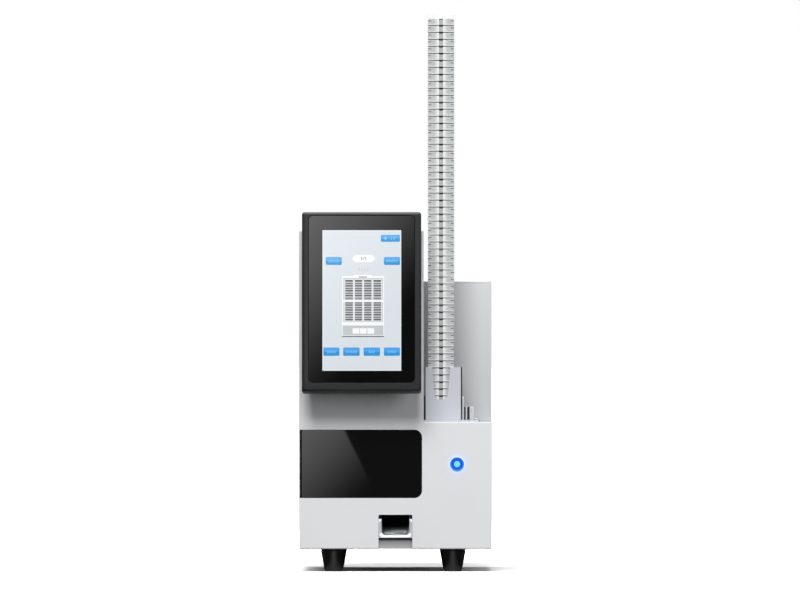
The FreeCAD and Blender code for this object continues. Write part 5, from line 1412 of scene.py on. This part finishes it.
@dataclass
class CassetteMould:
    """One cassette: an end face with a slot, catches and lips, on a shallow body."""

    half: float = 14.2
    high: float = 7.5
    length: float = 40.0
    corner: float = 1.2
    lit_lip: float = 0.75
    ledge: float = 1.75
    slot: float = 2.2
    slot_depth: float = 1.15
    band: tuple[float, float] = (0.75, 1.5)
    catch: tuple[float, float, float] = (10.7, 4.75, 5.5)
    hole_shade: float = 6.55
    cheek: float = 0.9
    gap: float = 0.02
    slope_run: float = 5.0

    def front(self) -> tuple[np.ndarray, np.ndarray]:
        """The end face as depths over a grid, with one tone for each quad.

        The depth grows with the square of the distance from the slot, so that the cheeks fall back
        outwards; the slot, the catches, the joint at the bottom and the hole on top are steps in it.

        Returns:
            The grid's points and its tones.
        """
        gap, (catch_in, catch_low, catch_high) = self.gap, self.catch
        xs = np.array([-self.half, -13.4, -12.9, -catch_in, gap - catch_in, -8.0, -5.0, -self.slot - gap,
                       -self.slot, -self.band[1], gap - self.band[1], -self.band[0], gap - self.band[0]])
        xs = np.concatenate([xs, -xs[::-1]])
        zs = np.array([0.0, self.lit_lip, self.lit_lip + gap, self.ledge, catch_low, catch_low + gap, catch_high,
                       catch_high + gap, self.hole_shade, self.hole_shade + gap, self.high])
        x, z = np.meshgrid(xs, zs)
        away = np.abs(x)
        y = self.cheek * ((away - self.slot).clip(0) / (self.half - self.slot)) ** 2
        y = np.where(z < self.lit_lip + gap / 2, y + 0.9, y)
        catch = (away > catch_in - gap / 2) & (z > catch_low + gap / 2) & (z < catch_high + gap / 2)
        y = np.where(catch, y + 0.7, y)
        band = (away > self.band[0] - gap / 2) & (away < self.band[1] + gap / 2)
        slot = away <= self.slot
        y = np.where(slot, np.where(band, self.slot_depth - 0.45, self.slot_depth), y)
        y = np.where(slot & (z > self.hole_shade + gap / 2), 2.6, y)
        z = np.minimum(z, self.high - (away - (self.half - self.corner)).clip(0))
        z = np.where(zs[:, None] == 0.0, np.minimum((away - 12.6).clip(0) * 0.35, 0.6), z)
        mx, mz = np.meshgrid(np.abs(xs[:-1] + xs[1:]) / 2, (zs[:-1] + zs[1:]) / 2)
        # painted light on the end face: a highlight band above the joint, shade in the joint and the catches,
        # near black in the hole over the slot
        tones = np.full(mx.shape, CassetteTone.BODY)
        tones[(mz > self.lit_lip + gap) & (mz < self.ledge)] = CassetteTone.LIT_LIP
        tones[mz < self.lit_lip + gap / 2] = CassetteTone.GAP
        tones[(mx > catch_in) & (mz > catch_low) & (mz < catch_high + gap)] = CassetteTone.GAP
        tones[mx < self.slot] = CassetteTone.SLOT
        tones[(mx < self.slot) & ((mz > self.hole_shade + gap / 2) | (mz < self.lit_lip))] = CassetteTone.HOLE_SHADE
        return np.stack([x, y, z], axis=-1), tones

    def add(self, maker: MeshMaker, place: Point, open_top: bool = False) -> None:
        """Add a cassette to a maker.

        Args:
            maker: The maker.
            place: The middle of its front lower edge.
            open_top: Whether its lid is modelled, as on the topmost one.
        """
        points, tones = self.front()
        back = self.slot_depth + 1.6
        ring = np.concatenate([points[0], points[1:, -1], points[-1, -2::-1], points[-2:0:-1, 0]])
        behind = ring.copy()
        behind[:, 1] = back
        origin = np.array(place, float)
        maker.grid(points + origin, tone=tones)
        maker.grid(np.stack([ring, behind]) + origin, True)
        shoulder = self.high - self.corner
        section = np.array([(-self.half, 0.0), (self.half, 0.0), (self.half, shoulder),
                            (self.half - self.corner, self.high), (self.corner - self.half, self.high),
                            (-self.half, shoulder)])
        low_end = np.minimum(section, np.array([self.half, self.high - self.slope_run]))
        rows = [(section, back), (section, self.length - self.slope_run), (low_end, self.length)]
        grid = np.stack([np.stack([s[:, 0], np.full(len(s), y), s[:, 1]], 1) for s, y in rows]) + origin
        maker.grid(grid, True)
        maker.loop(grid[-1])
        if open_top:
            self.basket(maker, origin)

    def basket(self, maker: MeshMaker, origin: np.ndarray) -> None:
        """Add the lid of the topmost cassette: a grid of round-edged slats.

        Args:
            maker: The maker.
            origin: The middle of the cassette's front lower edge.
        """
        top = self.high - 0.02
        # the lengthwise slats take the painted highlight, the cross slats the body colour
        for x in np.linspace(-11.0, 11.0, 12):
            low = origin + np.array([x - 0.45, 6.0, top - 0.3])
            maker.block(tuple(low), tuple(low + np.array([0.9, 25.0, 0.62])), 0.15, 1, CassetteTone.LIT_LIP)
        for y in np.linspace(6.0, 30.4, 8):
            low = origin + np.array([-11.6, y, top - 0.3])
            maker.block(tuple(low), tuple(low + np.array([23.2, 0.8, 0.5])), 0.15, 1, CassetteTone.BODY)


@dataclass
class Magazine:
    """The stack of cassettes in its sleeve, with the lid of the topmost one."""

    pitch: float = 7.7
    mould: CassetteMould = field(default_factory=CassetteMould)

    def piece(self, node: str, name: str, count: int) -> None:
        """Make a pile of cassettes in a CAD node's place, in line with the stack.

        Args:
            node: The CAD node.
            name: The piece's name.
            count: How many cassettes lie on each other; on more than one, the topmost has its lid.
        """
        low, high = box_of("cassette_stack")
        bottom = box_of(node)[0][2]
        maker = MeshMaker()
        for i in range(count):
            place = ((low[0] + high[0]) / 2, low[1], bottom + i * self.pitch)
            self.mould.add(maker, place, i == count - 1 > 0)
        finishes = [Finishes.CASSETTE, Finishes.CASSETTE_PAINTED_HIGHLIGHT, Finishes.CASSETTE_SLOT, Finishes.CASSETTE_GAP,
                    Finishes.CASSETTE_HOLE_SHADE]
        maker.build(name, finishes, BODY_OF[node], SLOT_OF[node], [node], 35)

    def build(self) -> None:
        """Make the stack and the cassette on the track."""
        low, high = box_of("cassette_stack")
        self.piece("cassette_stack", "stacked_cassettes", round((high[2] - low[2]) / self.pitch))
        self.piece("fed_cassette", "cassette_on_track", 1)


@dataclass
class Holder:
    """The magazine holder's dark frame, its sensor post and its screws."""

    side: float = 2.0
    thin: float = 1.3
    back: float = 2.5
    step: float = 193.4
    tip: float = 2.4

    def post(self) -> None:
        """Make the sensor post, its tip painted near white as a painted highlight."""
        low, high = box_of("sensor_post")
        maker = MeshMaker()
        maker.block(tuple(low), (high[0], high[1], high[2] - self.tip), 0.3)
        maker.block((low[0], low[1], high[2] - self.tip), tuple(high), 0.7, tone=1)
        maker.build("post_with_painted_tip", [Finishes.ALUMINIUM_EDGE, Finishes.CASSETTE_PAINTED_HIGHLIGHT], "root",
                    SLOT_OF["sensor_post"], ["sensor_post"])

    def surround(self) -> None:
        """Make the frame's back and sides, the left one dark up to a step."""
        low, high = box_of("magazine_frame")
        inner = high[1] - self.back
        maker = MeshMaker()
        for start, end, tone in (((low[0], inner, low[2]), tuple(high), 0),
                                 (tuple(low), (low[0] + self.side, inner, self.step), 0),
                                 ((low[0], low[1], self.step), (low[0] + self.side, inner, high[2]), 1),
                                 ((high[0] - self.thin, low[1], low[2]), (high[0], inner, high[2]), 0)):
            maker.block(start, end, 0.25, tone=tone)
        maker.build("holder_frame", [Finishes.ANODISED, Finishes.FRAME_SIDE], "root",
                    SLOT_OF["magazine_frame"], ["magazine_frame"])

    def screws(self) -> None:
        """Make the base plate's screws."""
        low, high = box_of("magazine_base_plate")
        maker = MeshMaker()
        for x, y in ((high[0] - 5.0, low[1] + 30.0), (high[0] - 5.0, high[1] - 8.0),
                     (low[0] + 4.6, high[1] - 4.5), (high[0] - 26.0, high[1] - 4.5)):
            maker.screw((x, y, high[2] - SEAT_DEPTH), Axis.Z, 1, 2.4, 1.1)
        maker.build("holder_screws", [Finishes.SCREW], "root", "holder_aluminium")

    def build(self) -> None:
        """Make the post, the dark frame and the screws."""
        self.post()
        self.surround()
        self.screws()


@dataclass
class RibbonUnit:
    """The wound spools, spindles and guide posts behind the door."""

    flange: float = 16.95
    hub: float = 7.0
    bore: float = 4.15
    skirt: float = 0.98
    peg_place: float = 9.4
    peg_half: float = 1.1
    post: float = 1.9

    def spool(self, node: str, name: str, wound: float) -> None:
        """Make one spool: two flanges with a roll between, a dish on top and three pegs in it.

        Args:
            node: The CAD spool.
            name: The piece's name.
            wound: The radius of the wound ribbon.
        """
        low, high = box_of(node)
        x, y = (low[:2] + high[:2]) / 2
        h = high[2] - low[2]
        f, b, skirt, hub = self.flange, self.bore, self.skirt, self.hub
        under = [(b, 0), (f - 0.3, 0), (f, 0.25), (f, 0.75), (f - 0.3, skirt)]
        over = [(f - 0.3, h - skirt), (f, h - 0.75), (f, h - 0.25), (f - 0.3, h - 0.02),
                (hub + 5.2, h - 0.02), (hub + 4.8, h - 0.4), (hub + 0.6, h - 0.4), (hub + 0.2, h - 0.02),
                (b, h - 0.02), (b, 0)]
        maker = MeshMaker()
        maker.turned(under + [(wound, skirt), (wound, h - skirt)] + over, (x, y, low[2]), Axis.Z, 64,
                     [0] * 5 + [1] + [0] * 10)
        for i in range(3):
            turn = math.tau * i / 3
            peg_x, peg_y = x + self.peg_place * math.cos(turn), y + self.peg_place * math.sin(turn)
            maker.block((peg_x - self.peg_half, peg_y - self.peg_half, high[2] - 0.42),
                        (peg_x + self.peg_half, peg_y + self.peg_half, high[2] - 0.05), 0.15, 1)
        maker.build(name, [Finishes.FLANGE, Finishes.WOUND], BODY_OF[node], SLOT_OF[node], [node], 35)

    def spindles(self) -> None:
        """Make the two stepped spindles under the spools."""
        low = box_of("ribbon_spindles")[0]
        maker = MeshMaker()
        for node in ("supply_spool", "takeup_spool"):
            x, y, _ = middle_of(node)
            maker.turned([(0, 0.05), (7.6, 0.05), (7.8, 0.3), (7.8, 2.7), (7.4, 3.0), (5.5, 3.2), (5.5, 20.2),
                          (4.0, 20.4), (4.0, 34.2), (3.5, 35.2), (2.2, 35.9), (0, 35.95)],
                         (x, y, low[2] - SEAT_DEPTH), Axis.Z, 40)
        maker.build("turned_spindles", [Finishes.PIN], "root", "polished_steel", ["ribbon_spindles"])

    def posts(self) -> None:
        """Make the three guide posts, each with a neck and a round head."""
        low, high = box_of("guide_posts")
        r = self.post
        maker = MeshMaker()
        for x, y in ((low[0] + r, high[1] - r), (high[0] - r, high[1] - r), (high[0] - r, low[1] + r)):
            maker.turned([(0, 0), (r, 0), (r, 21.6), (r - 0.25, 21.9), (r - 0.25, 31.4), (r, 31.7), (r, 33.2),
                          (r - 0.5, 33.75), (0, 33.78)], (x, y, low[2]), Axis.Z, 32)
        maker.build("turned_guides", [Finishes.PIN], "root", "polished_steel", ["guide_posts"])

    def build(self) -> None:
        """Make spools, spindles and posts."""
        self.spool("supply_spool", "wound_supply_spool", 15.0)
        self.spool("takeup_spool", "wound_takeup_spool", 11.0)
        self.spindles()
        self.posts()


@dataclass
class Studio:
    """The camera, the lamps, the pale floor and the dark cards that black gloss mirrors."""

    middle: tuple[float, float] = (5.0, 299.0)
    width: float = 880.0
    away: float = 20000.0
    sensor: float = 36.0
    aim: Point = (0.0, 0.0, 0.28)
    lamps: tuple[tuple[str, Point, float, float], ...] = (
        ("key_lamp", (-0.45, -4.0, 3.52), 2.2, 250.0),
        ("side_lamp", (0.9, -1.3, 0.5), 0.6, 4.5),
        ("back_lamp", (-1.3, 2.3, 1.5), 1.2, 24.0))
    mouth_power: float = 0.0021
    mouth_rise: float = 0.0142
    mouth_beam: float = math.radians(14.0)
    mouth_distance: float = 0.075
    dome: float = 0.21
    mirror_low: float = 0.16
    mirror_high: float = 1.25
    mirror_top: float = 3.2
    floor_seen: float = 1.9
    floor_far: float = 7.0
    floor_bounce: float = 0.10
    floor_mirrored: float = 0.10
    floor_half: float = 60.0
    foot_streak: float = 1.1
    foot_radius: float = 0.0148
    card_dark: float = 0.04

    def camera(self) -> None:
        """Put the camera far in front, level, with a long lens that takes in the frame's width."""
        data = bpy.data.cameras.new("front_camera")
        data.sensor_width = self.sensor
        data.lens = self.sensor * self.away / self.width
        data.clip_end = 200.0
        camera = stand("front_camera", data)
        camera.location = (self.middle[0] * MM, (Y_FRONT - self.away) * MM, self.middle[1] * MM)
        camera.rotation_euler = (math.pi / 2, 0, 0)
        bpy.context.scene.camera = camera

    def lamp(self, name: str, place: Sequence[float], target: Sequence[float], size: tuple[float, float],
             power: float, spread: float = 180.0) -> None:
        """Add a soft lamp.

        Args:
            name: Its name.
            place: Where it stands, in metres.
            target: What it looks at.
            size: Width and height.
            power: Watts.
            spread: The angle of its beam in degrees.
        """
        data = bpy.data.lights.new(name, "AREA")
        data.shape = "RECTANGLE"
        data.size, data.size_y = size
        data.energy = power
        data.spread = math.radians(spread)
        lamp = stand(name, data)
        lamp.location = place
        lamp.rotation_euler = (Vector(target) - Vector(place)).to_track_quat("-Z", "Y").to_euler()
        lamp.visible_glossy = False
        lamp.visible_camera = False

    def world(self) -> None:
        """White for the camera and through glass, dark low and bright high for gloss, even for the light."""
        world = bpy.data.worlds.new("studio_world")
        w = blank(world)
        path = w.node("LightPath").outputs
        rise = w.along(w.node("TexCoord").outputs["Generated"], 2)
        mirrored = w.span(rise, 0.02, 0.75, self.mirror_low, self.mirror_high)
        mirrored = w.math("ADD", mirrored, w.span(rise, 0.75, 1.0, 0.0, self.mirror_top))
        seen = w.math("MAXIMUM", path["Is Camera Ray"], path["Is Transmission Ray"])
        strength = w.math("MULTIPLY", w.math("SUBTRACT", 1.0, path["Is Glossy Ray"]), self.dome)
        strength = w.math("ADD", strength, w.math("MULTIPLY", path["Is Glossy Ray"], mirrored))
        strength = w.math("MAXIMUM", strength, seen)
        w.close(w.node("Background", {"Color": (1, 1, 1, 1), "Strength": strength}), "OutputWorld")
        bpy.context.scene.world = world

    def floor(self) -> None:
        """A wide pale floor: white to the camera away from the shadow, soft grey for the light."""
        size = self.floor_half
        mesh = bpy.data.meshes.new("floor")
        mesh.from_pydata([(-size, -size, 0), (size, -size, 0), (size, size, 0), (-size, size, 0)], [],
                         [(0, 1, 2, 3)])
        made = bpy.data.materials.new("floor_pale")
        w = blank(made)
        path = w.node("LightPath").outputs
        place = w.node("TexCoord").outputs["Object"]
        low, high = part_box("rubber_feet")
        left, right = (w.math("ABSOLUTE", w.math("SUBTRACT", w.along(place, 0), x))
                       for x in (low.x + self.foot_radius, high.x - self.foot_radius))
        streak = w.span(w.math("MINIMUM", left, right), 0.0, 0.03, self.foot_streak, self.floor_mirrored)
        seen = w.span(w.away(place, (0.0, 0.0, 0.0)), 0.5, 3.0, self.floor_seen - self.floor_bounce,
                      self.floor_far)
        light = w.math("ADD", self.floor_bounce, w.math("MULTIPLY", path["Is Camera Ray"], seen))
        light = w.math("ADD", w.math("MULTIPLY", light, w.math("SUBTRACT", 1.0, path["Is Glossy Ray"])),
                       w.math("MULTIPLY", streak, path["Is Glossy Ray"]))
        light = w.math("MULTIPLY", light, w.span(w.noise(place, 9.0, 4.0), 0.3, 0.7, 0.985, 1.0))
        w.close(w.node("BsdfDiffuse", {"Color": w.grey(light)}))
        mesh.materials.append(made)
        stand("floor", mesh)

    def card(self, name: str, box: Box, depth: float, bright: float, start: tuple[float, float],
             end: tuple[float, float], edge: Point | None = None) -> None:
        """Add an upright card that only gloss sees, dark with one bright fading field.

        Args:
            name: Its name.
            box: Left, low, right and high in millimetres.
            depth: Its depth in millimetres.
            bright: Light at the start of the field.
            start: Where the field is brightest, across and up.
            end: Where it has faded out.
            edge: A line a*x + b*z = c in millimetres, past which the card is dark.
        """
        left, low, right, high = (v * MM for v in box)
        y = depth * MM
        mesh = bpy.data.meshes.new(name)
        mesh.from_pydata([(left, y, low), (right, y, low), (right, y, high), (left, y, high)], [],
                         [(0, 1, 2, 3)])
        made = bpy.data.materials.new(name)
        w = blank(made)
        place = w.node("TexCoord").outputs["Object"]
        x, z = w.along(place, 0), w.along(place, 2)
        run = np.array(end) - np.array(start)
        unit = run / float(run @ run) / MM
        share = w.math("ADD", w.math("MULTIPLY", w.math("SUBTRACT", x, start[0] * MM), float(unit[0])),
                       w.math("MULTIPLY", w.math("SUBTRACT", z, start[1] * MM), float(unit[1])))
        light = w.math("MULTIPLY", w.span(share, 0.0, 1.0, 1.0, 0.0, "SMOOTHSTEP"), bright)
        if edge:
            a, b, c = edge
            past = w.math("ADD", w.math("MULTIPLY", x, a), w.math("MULTIPLY", z, b))
            light = w.math("MULTIPLY", light, w.math("LESS_THAN", past, c * MM))
        light = w.math("ADD", light, self.card_dark)
        w.close(w.node("Emission", {"Color": (1, 1, 1, 1), "Strength": light}))
        mesh.materials.append(made)
        card = stand(name, mesh)
        card.visible_camera = False
        card.visible_diffuse = False
        card.visible_shadow = False
        card.visible_transmission = False
        card.visible_volume_scatter = False

    def mouth_lamp(self) -> None:
        """Set a small lamp before the mouth that looks down on the chute's floor."""
        low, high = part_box("output_chute")
        mouth = Vector(((low.x + high.x) / 2, low.y, low.z + self.mouth_rise))
        beam = Vector((0.0, -math.cos(self.mouth_beam), math.sin(self.mouth_beam)))
        self.lamp("mouth_lamp", mouth + beam * self.mouth_distance, mouth, (0.021, 0.005),
                  self.mouth_power, 6.0)

    def build(self) -> None:
        """Set the whole stage."""
        bpy.context.scene.view_settings.view_transform = "Standard"
        self.camera()
        self.world()
        self.floor()
        for name, place, size, power in self.lamps:
            self.lamp(name, place, self.aim, (size, size), power)
        self.mouth_lamp()
        self.card("door_card", (-135.0, 66.0, 60.0, 172.0), -560.0, 2.3, (-110.0, 165.0), (-26.0, 84.0),
                  (74.8, 37.4, 74.8 * -59.0 + 37.4 * 156.0))
        self.card("glass_card", (-130.0, 270.0, 70.0, 540.0), -640.0, 3.2, (-120.0, 520.0), (20.0, 400.0))


def main() -> None:
    """Build the stage and every sub-assembly in order."""
    logging.basicConfig(level=logging.INFO, format="%(message)s")
    Studio().build()
    for node, (finish, width) in DRESS.items():
        soften(node, finish, width)
    for node, finish in KEPT.items():
        keep(node, finish)
    for assembly in (Cabinet(), Feet(), PushButton(), Chute(), Display(), Magazine(), Holder(), RibbonUnit()):
        assembly.build()
        LOG.info("built %s", type(assembly).__name__)


if __name__ == "__main__":
    main()
